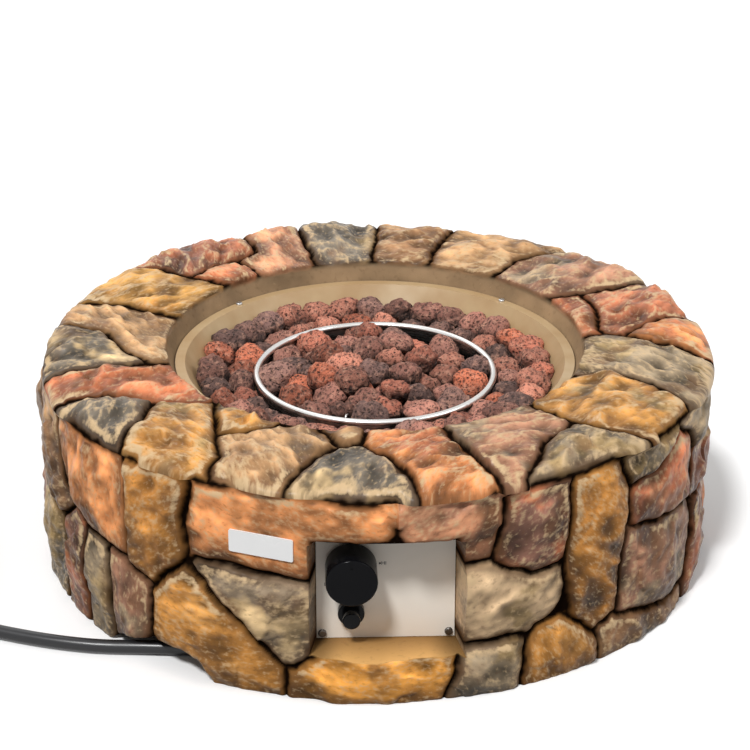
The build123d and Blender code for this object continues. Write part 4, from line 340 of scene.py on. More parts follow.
def read(items: bpy.types.bpy_prop_collection, name: str, width: int, kind: type = float) -> Array:
    """Reads a value of each vertex, edge or attribute entry.

    Args:
        items: Vertices, edges or attribute entries.
        name: Name of the value.
        width: How many numbers each value has.
        kind: Kind of number.

    Returns:
        One row for each item.
    """
    flat = np.zeros(len(items) * width, kind)
    items.foreach_get(name, flat)
    return flat.reshape(-1, width)


def get_places(mesh: Mesh) -> Array:
    """Places of a mesh's vertices, three numbers to a row."""
    return read(mesh.vertices, "co", 3)


def set_places(mesh: Mesh, places: Array) -> None:
    """Moves a mesh's vertices to new places."""
    mesh.vertices.foreach_set("co", places.astype(np.float32).ravel())
    mesh.update()


def get_selected(mesh: Mesh) -> Array:
    """Which of a mesh's vertices are selected."""
    return read(mesh.vertices, "select", 1, bool)[:, 0]


def padded(flags: Array, total: int) -> Array:
    """Flags of the first vertices, with False added for the others."""
    return np.concatenate((flags, np.zeros(total - len(flags), bool)))


def paint(mesh: Mesh, name: str, colours: Array) -> None:
    """Writes a colour for each vertex into a named attribute.

    Args:
        mesh: Mesh that takes the attribute.
        name: Name that a finish reads.
        colours: Linear colours, three numbers to a row, and a fourth where the finish reads one.
    """
    layer = mesh.color_attributes.get(name) or mesh.color_attributes.new(name, "FLOAT_COLOR", "POINT")
    full = np.zeros((len(mesh.vertices), 4), np.float32)
    full[:, :colours.shape[1]] = colours
    layer.data.foreach_set("color", full.ravel())


def lay_grain(mesh: Mesh, grain: Array) -> None:
    """Writes coordinates along the stones' grain into an attribute of a mesh."""
    layer = mesh.attributes.new(STONE_GRAIN, "FLOAT_VECTOR", "POINT")
    layer.data.foreach_set("vector", grain.astype(np.float32).ravel())


def deselect() -> None:
    """Leaves edit mode and selects nothing."""
    if bpy.context.object and bpy.context.object.mode != "OBJECT":
        bpy.ops.object.mode_set(mode="OBJECT")
    bpy.ops.object.select_all(action="DESELECT")


def focus(piece: Object) -> None:
    """Makes one piece the only selected and active one.

    Args:
        piece: Piece to select.
    """
    deselect()
    piece.select_set(True)
    bpy.context.view_layer.objects.active = piece


def pick(piece: Object, chosen: Array) -> None:
    """Opens a piece in edit mode with some of its first vertices selected.

    Args:
        piece: Piece to open.
        chosen: Which of its first vertices are selected.
    """
    focus(piece)
    bpy.ops.object.mode_set(mode="EDIT")
    bpy.ops.mesh.select_mode(type="VERT")
    bpy.ops.mesh.select_all(action="DESELECT")
    bpy.ops.object.mode_set(mode="OBJECT")
    piece.data.vertices.foreach_set("select", padded(chosen, len(piece.data.vertices)))
    bpy.ops.object.mode_set(mode="EDIT")


def smooth(piece: Object, sharp: float) -> None:
    """Shades a piece smooth, apart from edges that bend by more than an angle in degrees."""
    focus(piece)
    bpy.ops.object.shade_smooth_by_angle(angle=math.radians(sharp))


def new_piece(name: str) -> Object:
    """Names the object that an operator has just added.

    Args:
        name: Name of the object and of its mesh.

    Returns:
        The object.
    """
    piece = bpy.context.object
    piece.name = name
    piece.data.name = name
    return piece


def copy_node(node: Object, name: str) -> Object:
    """Copies a CAD node, merges its loose triangles and leaves it open in edit mode, all selected.

    Args:
        node: CAD node to copy.
        name: Name of the copy.

    Returns:
        The copy.
    """
    piece = bpy.data.objects.new(name, node.data.copy())
    bpy.context.scene.collection.objects.link(piece)
    focus(piece)
    bpy.ops.object.mode_set(mode="EDIT")
    bpy.ops.mesh.select_all(action="SELECT")
    bpy.ops.mesh.remove_doubles(threshold=MERGE_DISTANCE)
    return piece


def settle(piece: Object) -> None:
    """Puts a piece's place into its mesh."""
    focus(piece)
    bpy.ops.object.transform_apply(location=True, rotation=True, scale=True)


def seat(piece: Object, body: str, slot: str, finish: Material, *nodes: str) -> None:
    """Gives a piece its finish and its place in the assembly.

    Args:
        piece: The new piece.
        body: CAD body that it moves with.
        slot: Material slot of the record; not used.
        finish: Material of the piece.
        nodes: CAD nodes that it stands for.
    """
    piece.data.materials.clear()
    piece.data.materials.append(finish)
    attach(piece, body)
    if nodes:
        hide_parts(*nodes)
    log.info("piece %s on %s", piece.name, body)


# Finishes


class Sketch:
    """Node tree of one material, with short ways to add and join nodes."""

    def __init__(self, name: str) -> None:
        """Starts a material with a plain shader.

        Args:
            name: Name of the material.
        """
        self.material = bpy.data.materials.new(name)
        self.material.use_nodes = True
        self.tree = self.material.node_tree
        self.shader = self.tree.nodes["Principled BSDF"]
        self.place = self.add("ShaderNodeTexCoord").outputs["Object"]

    def add(self, kind: str, **settings: object) -> Node:
        """Adds a node and sets its properties.

        Args:
            kind: Blender's name of the node's type.
            settings: Properties to set.

        Returns:
            The node.
        """
        node = self.tree.nodes.new(kind)
        for name, value in settings.items():
            setattr(node, name, value)
        return node

    def feed(self, value: object, target: Socket) -> None:
        """Joins a socket to another one, or sets it to a colour or a number.

        Args:
            value: Socket, colour or number.
            target: Socket that takes it.
        """
        if isinstance(value, Socket):
            self.tree.links.new(value, target)
        elif isinstance(value, tuple):
            target.default_value = (*value, 1.0)
        else:
            target.default_value = value

    def dress(self, **values: object) -> None:
        """Feeds sockets of the shader by name, with _ for a space."""
        for name, value in values.items():
            self.feed(value, self.shader.inputs[name.replace("_", " ")])

    def attribute(self, name: str) -> Node:
        """Reads an attribute of the piece."""
        return self.add("ShaderNodeAttribute", attribute_name=name)

    def calculate(self, operation: str, *values: object) -> Socket:
        """Result of a calculation.

        Args:
            operation: Blender's name of the operation.
            values: Numbers or sockets that it takes.

        Returns:
            The result's socket.
        """
        node = self.add("ShaderNodeMath", operation=operation)
        for value, socket in zip(values, node.inputs):
            self.feed(value, socket)
        return node.outputs[0]

    def stretch(self, amounts: Place) -> Socket:
        """Object coordinates, stretched along each axis.

        Args:
            amounts: Factor for each axis.

        Returns:
            The coordinates' socket.
        """
        node = self.add("ShaderNodeMapping")
        node.inputs["Scale"].default_value = amounts
        self.feed(self.place, node.inputs["Vector"])
        return node.outputs["Vector"]

    def grain(self, scale: float, detail: float, place: Socket | None = None
              ) -> Socket:
        """Noise value over the surface.

        Args:
            scale: Size of the pattern, larger is finer.
            detail: How many finer patterns are in it.
            place: Coordinates that it reads, or none for the plain ones.

        Returns:
            The noise's value socket.
        """
        node = self.add("ShaderNodeTexNoise")
        node.inputs["Scale"].default_value = scale
        node.inputs["Detail"].default_value = detail
        self.feed(place or self.place, node.inputs["Vector"])
        return node.outputs["Fac"]

    def span(self, value: Socket, low: float, high: float, ends: Span = (0.3, 0.7)
             ) -> Socket:
        """Maps a value to a range.

        Args:
            value: Value to map.
            low: Result at the lower end.
            high: Result at the upper end.
            ends: Values at the two ends.

        Returns:
            The mapped value's socket.
        """
        node = self.add("ShaderNodeMapRange")
        for name, number in zip(("From Min", "From Max", "To Min", "To Max"), (*ends, low, high)):
            node.inputs[name].default_value = number
        self.feed(value, node.inputs["Value"])
        return node.outputs["Result"]

    def blend(self, share: object, first: object, second: object, mode: str = "MIX") -> Socket:
        """Mixes two colours.

        Args:
            share: Share of the second colour, a number or a socket.
            first: Colour or colour socket.
            second: Colour or colour socket.
            mode: How they are mixed.

        Returns:
            The mixed colour's socket.
        """
        node = self.add("ShaderNodeMix", data_type="RGBA", blend_type=mode)
        for value, number in ((share, 0), (first, 6), (second, 7)):
            self.feed(value, node.inputs[number])
        return node.outputs[2]

    def bump(self, height: Socket, strength: float, distance: float) -> None:
        """Adds fine relief to the surface, on top of any that is there.

        Args:
            height: Socket of the relief's height.
            strength: Share of the relief that shows.
            distance: Depth of the relief in metres.
        """
        node = self.add("ShaderNodeBump")
        node.inputs["Strength"].default_value = strength
        node.inputs["Distance"].default_value = distance
        self.feed(height, node.inputs["Height"])
        target = self.shader.inputs["Normal"]
        if target.is_linked:
            self.feed(target.links[0].from_socket, node.inputs["Normal"])
        self.feed(node.outputs["Normal"], target)


@dataclass(frozen=True)
class StoneFinish:
    """Painted and sealed cast stone, coloured by the piece's own paint attribute.

    The paint's fourth number is the share of pale brushing, which is partly a painted highlight.
    It falls to -1 in the joints, which stay plain and dull.
    """

    name: str = "painted_cast_stone"
    fleck: float = 170.0
    cloud: float = 18.0
    cloud_levels: Span = (0.36, 1.62)
    dark_fleck: float = 0.42
    pale_fleck: float = 0.90
    brushing: float = 0.42
    roughness: Span = (0.30, 0.52)
    fleck_bump: Span = (0.18, 0.0012)
    cloud_bump: Span = (0.36, 0.0035)
    shine: float = 0.12
    seal: float = 0.05
    seal_roughness: float = 0.24
    even_shine: float = 0.10
    even_seal: float = 0.04

    def make(self) -> Material:
        """Builds the material.

        Returns:
            The material.
        """
        sketch = Sketch(self.name)
        paint_node = sketch.attribute(STONE_PAINT)
        colour, brushed = paint_node.outputs["Color"], paint_node.outputs["Alpha"]
        strokes = sketch.attribute(STONE_GRAIN).outputs["Vector"]
        clouds = sketch.grain(self.cloud, 5.0, strokes)
        flecks = sketch.grain(self.fleck, 6.0, strokes)
        shade = sketch.add("ShaderNodeCombineColor")
        level = sketch.span(clouds, *self.cloud_levels)
        for socket in shade.inputs[:3]:
            sketch.feed(level, socket)
        clouded = sketch.span(brushed, 0.0, 1.0, (-0.6, -0.1))
        colour = sketch.blend(clouded, colour, shade.outputs[0], "MULTIPLY")
        flecked = sketch.span(brushed, 0.0, 1.0, (-1.0, 0.0))
        dark = sketch.calculate("MULTIPLY", sketch.span(flecks, self.dark_fleck, 0.0, (0.27, 0.44)), flecked)
        colour = sketch.blend(dark, colour, DARK_WASH_AND_SHADE_COLOUR)
        # Pale brushing, partly worn paint and partly a painted highlight along the edges
        reach = sketch.calculate("MULTIPLY_ADD", brushed, self.brushing, flecks)
        colour = sketch.blend(sketch.span(reach, 0.0, self.pale_fleck, (0.54, 0.88)), colour, PALE_WEAR_AND_HIGHLIGHT_COLOUR)
        sketch.bump(flecks, *self.fleck_bump)
        sketch.bump(clouds, *self.cloud_bump)
        # Even values, for a copy that keeps no links on these sockets
        sketch.dress(Specular_IOR_Level=self.even_shine, Coat_Weight=self.even_seal)
        sketch.dress(
            Base_Color=colour,
            Roughness=sketch.span(clouds, *self.roughness),
            Specular_IOR_Level=sketch.span(brushed, 0.0, self.shine, (-0.9, -0.1)),
            Coat_Weight=sketch.span(brushed, 0.0, self.seal, (-0.7, 0.0)),
            Coat_Roughness=self.seal_roughness,
        )
        return sketch.material


@dataclass(frozen=True)
class RockFinish:
    """Porous lava rock, coloured by the piece's own paint attribute, with painted shade in its pores."""

    name: str = "lava_rock"
    roughness: float = 0.85
    dust: float = 160.0
    dust_share: float = 0.55
    dust_colour: Colour = (0.64, 0.340, 0.235)
    pore_shade_share: float = 0.85
    pore_shade_colour: Colour = (0.020, 0.010, 0.008)
    sway: float = 0.006
    pores: tuple[Place, ...] = ((210.0, 0.85, 0.0028), (480.0, 0.6, 0.0012))
    dust_bump: Span = (0.6, 0.003)

    def make(self) -> Material:
        """Builds the material.

        Returns:
            The material.
        """
        sketch = Sketch(self.name)
        colour = sketch.attribute(ROCK_PAINT).outputs["Color"]
        dust = sketch.grain(self.dust, 6.0)
        dusty = sketch.span(dust, 0.0, self.dust_share, (0.50, 0.72))
        colour = sketch.blend(dusty, colour, self.dust_colour)
        sway = sketch.add("ShaderNodeVectorMath", operation="MULTIPLY_ADD")
        sway.inputs[1].default_value = (self.sway, self.sway, self.sway)
        sketch.feed(dust, sway.inputs[0])
        sketch.feed(sketch.place, sway.inputs[2])
        for scale, strength, depth in self.pores:
            cells = sketch.add("ShaderNodeTexVoronoi")
            cells.inputs["Scale"].default_value = scale
            sketch.feed(sway.outputs["Vector"], cells.inputs["Vector"])
            distance = cells.outputs["Distance"]
            # Pores painted near black: painted shade in pits that the bump alone only hints at
            dark = sketch.span(distance, self.pore_shade_share, 0.0, (0.12, 0.40))
            colour = sketch.blend(dark, colour, self.pore_shade_colour)
            sketch.bump(sketch.span(distance, 0.0, 1.0, (0.10, 0.48)), strength, depth)
        sketch.bump(dust, *self.dust_bump)
        sketch.dress(Base_Color=colour, Roughness=self.roughness)
        return sketch.material


@dataclass(frozen=True)
class MetalFinish:
    """Bare metal with fine lines or a cloudy surface, and soot below a height where it has any."""

    name: str
    colour: Colour
    roughness: Span = (0.24, 0.40)
    stretch: Place = (1.0, 1.0, 1.0)
    grain: float = 90.0
    relief: float = 0.12
    depth: float = 0.0004
    cloud: float = 14.0
    stain: Colour = (0.30, 0.24, 0.18)
    stain_share: float = 0.15
    soot: Span | None = None
    soot_colour: Colour = (0.055, 0.045, 0.040)

    def make(self) -> Material:
        """Builds the material.

        Returns:
            The material.
        """
        sketch = Sketch(self.name)
        lines = sketch.grain(self.grain, 5.0, sketch.stretch(self.stretch))
        stained = sketch.span(sketch.grain(self.cloud, 3.0), 0.0, self.stain_share, (0.45, 0.75))
        colour = sketch.blend(stained, self.colour, self.stain)
        if self.soot:
            split = sketch.add("ShaderNodeSeparateXYZ")
            sketch.feed(sketch.place, split.inputs[0])
            sooted = sketch.span(split.outputs["Z"], 1.0, 0.0, self.soot)
            colour = sketch.blend(sooted, colour, self.soot_colour)
        sketch.bump(lines, self.relief, self.depth)
        sketch.dress(Base_Color=colour, Roughness=sketch.span(lines, *self.roughness), Metallic=1.0)
        return sketch.material


@dataclass(frozen=True)
class MouldedFinish:
    """Moulded plastic, rubber, enamel or glaze with a faint grain."""

    name: str
    colour: Colour
    roughness: Span = (0.30, 0.45)
    grain: float = 220.0
    relief: float = 0.15
    second: Colour | None = None
    shine: float = 0.5
    depth: float = 0.0004
    cloud: float = 22.0
    shadow: float = 0.75

    def make(self) -> Material:
        """Builds the material.

        Returns:
            The material.
        """
        sketch = Sketch(self.name)
        fine = sketch.grain(self.grain, 4.0)
        clouds = sketch.grain(self.cloud, 3.0)
        other = self.second or tuple(self.shadow * part for part in self.colour)
        sketch.bump(fine, self.relief, self.depth)
        sketch.dress(
            Base_Color=sketch.blend(sketch.span(clouds, 0.0, 1.0), self.colour, other),
            Roughness=sketch.span(clouds, *self.roughness),
            Specular_IOR_Level=self.shine,
        )
        return sketch.material


# Stones

# Factors that keep the random draws of the courses apart
SHAPE_SEEDS = 1000
GRAIN_SEEDS = 500


@dataclass(frozen=True)
class Spots:
    """Places on the shell: degrees from the front, way along its section, radius, and places in space."""

    angle: Array
    along: Array
    radius: Array
    places: Array

    def take(self, rows: Array) -> "Spots":
        """Some of the places."""
        return Spots(self.angle[rows], self.along[rows], self.radius[rows], self.places[rows])


@dataclass(frozen=True)
class Relief:
    """Height, paint, grain and stone numbers that a course of stones gives to a set of places."""

    height: Array
    paint: Array
    grain: Array
    owner: Array


@dataclass
class StoneCourse:
    """One course of stones that meet in narrow joints.

    Each stone has rounded edges, sloping facets, chips and a rough skin. Its paint is mottled, browned
    towards the joints partly as painted shade, darker in the skin's pits as painted shade, lighter at
    the top of upright stones as painted light, and brushed pale along its edges and crests, the edges
    partly as a painted highlight.
    """

    outlines: list[Array]
    colours: tuple[StoneColour, ...]
    seed: int
    families: tuple[tuple[int, ...], ...] = ()
    smeared_joints: tuple[Place, ...] = ()
    upright: bool = True
    margin: Span = (8.0, 0.035)
    stand: float = 0.0122
    edge: float = 0.013
    spread: float = 0.009
    wobble: float = 0.0024
    turn_waves: Pattern = Pattern(45.0, 3)
    along_waves: Pattern = Pattern(38.0, 3)
    smear: float = 0.6
    smear_rise: float = 0.010
    least_size: float = 0.02
    stretch: Span = (0.2, 0.9)
    ridges: Pattern = Pattern(27.0, 3)
    pits: Pattern = Pattern(95.0, 2)
    face_levels: Span = (0.86, 0.97)
    bends: Pattern = Pattern(60.0, 2)
    bend: float = 0.0013
    top_bend: float = 1.3
    facet_count: int = 7
    facet_slopes: Span = (0.08, 0.32)
    facet_lifts: Span = (0.9, 1.15)
    facet_starts: Span = (0.0, 0.45)
    chip_count: int = 2
    chip: float = 0.0030
    chip_depths: Span = (0.4, 1.0)
    chip_starts: Span = (0.2, 0.75)
    chip_edge: float = 0.0012
    chip_waves: Pattern = Pattern(40.0, 3)
    chip_wave: float = 0.012
    least_face: float = 0.42
    rough: float = 0.0020
    patches: Pattern = Pattern(24.0, 4)
    patch_share: float = 0.85
    shades: Pattern = Pattern(46.0, 3)
    shade: float = 0.36
    pit_shade: float = 0.68
    washes: Pattern = Pattern(30.0, 3)
    wash_share: float = 0.55
    wash_light: float = 1.6
    tone: float = 0.88
    top_light: float = 0.40
    brown_and_shade_ends: Span = (0.0015, 0.015)
    brown_and_shade_share: float = 0.7
    crumbs: Pattern = Pattern(150.0, 2)
    crumb: float = 0.0012
    joint_ends: Span = (0.0008, 0.0036)
    wear: Pattern = Pattern(30.0, 2)
    brushing: Span = (0.80, 0.28)
    brushed_edge: Span = (0.0075, 0.0040)
    bare_ends: Span = (0.002, 0.007)

    def relief(self, spots: Spots, joint_limit: Array, edge_limit: Array) -> Relief:
        """Raises the stones at a set of places.

        Args:
            spots: Places on the plain surface.
            joint_limit: Distance to the nearest joint at the course's ends.
            edge_limit: Distance over which stones round off at a free edge.

        Returns:
            Height over the joints, paint, coordinates along the stones' grain, and number of the stone.
        """
        turn = self.wobble * self.turn_waves.at(spots.places, self.seed + 1) / spots.radius
        along = self.wobble * self.along_waves.at(spots.places, self.seed)
        spots = replace(spots, angle=spots.angle + np.degrees(turn), along=spots.along + along)
        gap, owner = self.nearest_stone(spots)
        gap = np.maximum(np.minimum(gap, joint_limit), 0.0)
        for middle, half, low in self.smeared_joints:
            share = 1.0 - smooth_step(half * 0.5, half, np.abs(spots.angle - middle))
            rise = smooth_step(low, low + self.smear_rise, spots.along)
            gap = np.maximum(gap, self.smear * self.edge * share * rise)
        height = np.zeros(len(gap))
        colours = np.zeros((len(gap), 4))
        grains = spots.places.copy()
        for family in self.all_families():
            number = family[0]
            rows = np.nonzero(owner == number)[0]
            if len(rows) == 0:
                continue
            angle, along, radius, places = vars(spots.take(rows)).values()
            outline = np.vstack([self.outlines[part] for part in family])
            middle = (outline.min(axis=0) + outline.max(axis=0)) / 2.0
            turn = (angle - middle[0] + 180.0) % 360.0 - 180.0
            flat = np.column_stack((np.radians(turn) * radius, along - middle[1]))
            grains[rows] = self.along_grain(number, middle[0], places)
            skin = self.skin(grains[rows])
            reach = np.minimum(gap[rows], edge_limit[rows])
            height[rows] = self.stone_height(number, flat, reach, places, skin)
            tall = np.clip(flat[:, 1] / max(np.ptp(outline[:, 1]) / 2.0, self.least_size), -1.0, 1.0)
            colours[rows] = self.stone_paint(number, gap[rows], tall, places, skin)
        return Relief(height, colours, grains, owner)

    def all_families(self) -> list[tuple[int, ...]]:
        """Groups the outlines.

        Returns:
            Groups of outlines that are one stone each.
        """
        grouped = {number for family in self.families for number in family}
        singles = [(number,) for number in range(len(self.outlines)) if number not in grouped]
        return [*self.families, *singles]

    def nearest_stone(self, spots: Spots) -> tuple[Array, Array]:
        """Finds the stone that each place belongs to.

        Args:
            spots: Places on the shell.

        Returns:
            Distance from the nearest joint, and number of the stone.
        """
        best = np.full(len(spots.angle), -1.0)
        second = best.copy()
        owner = np.zeros(len(best), int)
        for family in self.all_families():
            reach = self.family_distance(family, spots)
            wins = reach > best
            second = np.where(wins, best, np.maximum(second, reach))
            owner = np.where(wins, family[0], owner)
            best = np.where(wins, reach, best)
        return np.minimum(best + self.spread, (best - second) / 2.0), owner

    def family_distance(self, family: tuple[int, ...], spots: Spots) -> Array:
        """Distance into one stone, less than 0 outside it.

        Args:
            family: Outlines that make the stone.
            spots: Places on the shell.

        Returns:
            Distance of each place from the stone's edge.
        """
        result = np.full(len(spots.angle), -1.0)
        flat = np.column_stack((spots.angle, spots.along))
        for number in family:
            for turn in (-360.0, 0.0, 360.0):
                corners = self.outlines[number] + np.array((turn, 0.0))
                low, high = corners.min(axis=0) - self.margin, corners.max(axis=0) + self.margin
                rows = np.nonzero(np.all((flat > low) & (flat < high), axis=1))[0]
                if len(rows) == 0:
                    continue
                inside, distance = self.edge_distance(spots.take(rows), corners)
                result[rows] = np.maximum(result[rows], np.where(inside, distance, -distance))
        return result

    @staticmethod
    def edge_distance(spots: Spots, corners: Array) -> tuple[Array, Array]:
        """Tells which places are inside an outline and how far they are from its edge.

        Args:
            spots: Places on the shell.
            corners: Outline, as angle and distance along the section.

        Returns:
            Inside or not, and the distance to the nearest side.
        """
        inside = np.zeros(len(spots.angle), bool)
        nearest = np.full(len(inside), np.inf)
        for start, end in zip(corners, np.roll(corners, -1, axis=0)):
            start_x, end_x = (np.radians(corner[0] - spots.angle) * spots.radius for corner in (start, end))
            start_y, end_y = start[1] - spots.along, end[1] - spots.along
            side_x, side_y = end_x - start_x, end_y - start_y
            part = -(start_x * side_x + start_y * side_y) / (side_x ** 2 + side_y ** 2)
            part = np.clip(part, 0.0, 1.0)
            nearest = np.minimum(nearest, np.hypot(start_x + part * side_x, start_y + part * side_y))
            crosses = (start_y > 0.0) != (end_y > 0.0)
            with np.errstate(divide="ignore", invalid="ignore"):
                right = start_x - start_y * side_x / side_y > 0.0
            inside ^= crosses & right
        return inside, nearest

    def along_grain(self, number: int, turn: float, places: Array) -> Array:
        """Coordinates squeezed across the grain of one stone, so that patterns run along it.

        Args:
            number: The stone's place in the course.
            turn: Degrees from the front of the stone's middle.
            places: Places in space.

        Returns:
            The coordinates, three numbers to a row.
        """
        chance = np.random.default_rng(self.seed * GRAIN_SEEDS + number)
        facing = np.array((0.0, 0.0, 1.0))
        if self.upright:
            facing = np.array((math.sin(math.radians(turn)), -math.cos(math.radians(turn)), 0.0))
        axis = chance.normal(size=3)
        axis -= facing * (axis @ facing)
        axis /= np.linalg.norm(axis)
        return places + np.outer(places @ axis, axis) * chance.uniform(*self.stretch)

    def skin(self, grain: Array) -> Array:
        """Rough layered surface along the grain, about -1 in its pits to 1 on its crests."""
        crests = 1.0 - 2.2 * np.abs(self.ridges.at(grain, self.seed + 8))
        return np.clip(0.80 * crests + 0.28 * self.pits.at(grain, self.seed + 7), -1.3, 1.3)

    def stone_height(self, number: int, flat: Array, reach: Array, places: Array,
                     skin: Array) -> Array:
        """Height of one stone: rounded edges, broken facets, chips and a rough skin.

        Args:
            number: The stone's place in the course.
            flat: Places relative to the stone's middle.
            reach: Distance from its edge.
            places: The same places in space.
            skin: Rough surface of the stone.

        Returns:
            Height over the joints.
        """
        chance = np.random.default_rng(self.seed * SHAPE_SEEDS + number)
        part = np.clip(reach / self.edge, 0.0, 1.0)
        pillow = np.sqrt(1.0 - (1.0 - part) ** 2) * smooth_step(-0.05, 0.24, part)
        size = max(np.abs(flat).max(), self.least_size)
        bend = self.bend * self.bends.at(places, self.seed + number)
        face = self.stand * chance.uniform(*self.face_levels) + self.top_bend * bend
        for _ in range(self.facet_count):
            outward = self.outward(flat, chance)
            slope = chance.uniform(*self.facet_slopes)
            lift = self.stand * chance.uniform(*self.facet_lifts)
            start = chance.uniform(*self.facet_starts) * size
            face = np.minimum(face, lift - slope * (outward - start) + bend)
        wave = self.chip_wave * self.chip_waves.at(places, self.seed + 40 + number)
        for _ in range(self.chip_count):
            broken = self.outward(flat, chance) + wave
            line = chance.uniform(*self.chip_starts) * size
            depth = self.chip * chance.uniform(*self.chip_depths)
            face -= depth * smooth_step(line - self.chip_edge, line + self.chip_edge, broken)
        face = np.clip(face, self.least_face * self.stand, self.stand)
        return np.maximum(pillow * (face + self.rough * np.minimum(skin - 0.4, 0.35)), 0.0)

    @staticmethod
    def outward(flat: Array, chance: np.random.Generator) -> Array:
        """Distance of places from a stone's middle, in a random direction."""
        turn = chance.uniform(0.0, 2.0 * math.pi)
        return flat[:, 0] * math.cos(turn) + flat[:, 1] * math.sin(turn)

    def stone_paint(self, number: int, gap: Array, tall: Array, places: Array,
                    skin: Array) -> Array:
        """Paint of one stone: mottled colours, dark joints, dry-brushed crests, painted shade and light.

        Args:
            number: The stone's place in the course.
            gap: Distance from the nearest joint.
            tall: Place along the section, -1 to 1 over the stone.
            places: Places in space.
            skin: Rough surface of the stone.

        Returns:
            Linear colours with the share of pale brushing as their fourth number.
        """
        first = self.colours[number]
        patched = smooth_step(0.05, 0.5, self.patches.at(places, self.seed + 3 * number))[:, None]
        colour = mix(first.colour, first.mottle, patched * self.patch_share)
        colour *= (1.0 + self.shade * self.shades.at(places, self.seed + 5 * number))[:, None]
        # Painted shade in the skin's pits, and painted light on its crests
        colour *= (1.0 + self.pit_shade * np.clip(skin, -1.0, 0.5))[:, None]
        washed = smooth_step(0.15, 0.75, self.washes.at(places, self.seed + 7 * number))[:, None]
        colour = mix(colour, np.array(DARK_WASH_AND_SHADE_COLOUR) * self.wash_light, washed * self.wash_share)
        # Upright stones are painted lighter at the top and darker at the bottom: painted light from above
        colour *= (self.tone + self.top_light * tall * self.upright)[:, None]
        # Browned towards the joints: partly a brown wash, partly painted shade in the creases between stones
        brown_and_shade = (1.0 - smooth_step(*self.brown_and_shade_ends, gap))[:, None]
        colour = mix(colour, DARK_WASH_AND_SHADE_COLOUR, brown_and_shade * self.brown_and_shade_share)
        crumbled = gap + self.crumb * self.crumbs.at(places, self.seed + 2)
        dark = (1.0 - smooth_step(*self.joint_ends, crumbled))[:, None]
        colour = mix(colour, JOINT_COLOUR, dark)
        # Pale ring along each stone's edge: partly dry-brushed wear, partly a painted highlight, stronger on
        # the top edges on the wall and the outer edges on the rim, where the light falls
        wear_and_highlight = smooth_step(-0.5, 0.5, self.wear.at(places, self.seed + 9))
        wear_and_highlight *= 0.30 + 0.70 * smooth_step(-0.2, 0.8, tall)
        inset, width = self.brushed_edge
        ring = np.exp(-((gap - inset) / width) ** 2) * wear_and_highlight
        on_edge, on_crest = self.brushing
        brushed = np.clip(on_edge * ring + on_crest * smooth_step(0.25, 0.95, skin), 0.0, 1.0)
        brushed = (brushed + 1.0) * smooth_step(*self.bare_ends, gap) - 1.0
        return np.column_stack((colour, brushed))


# The shell


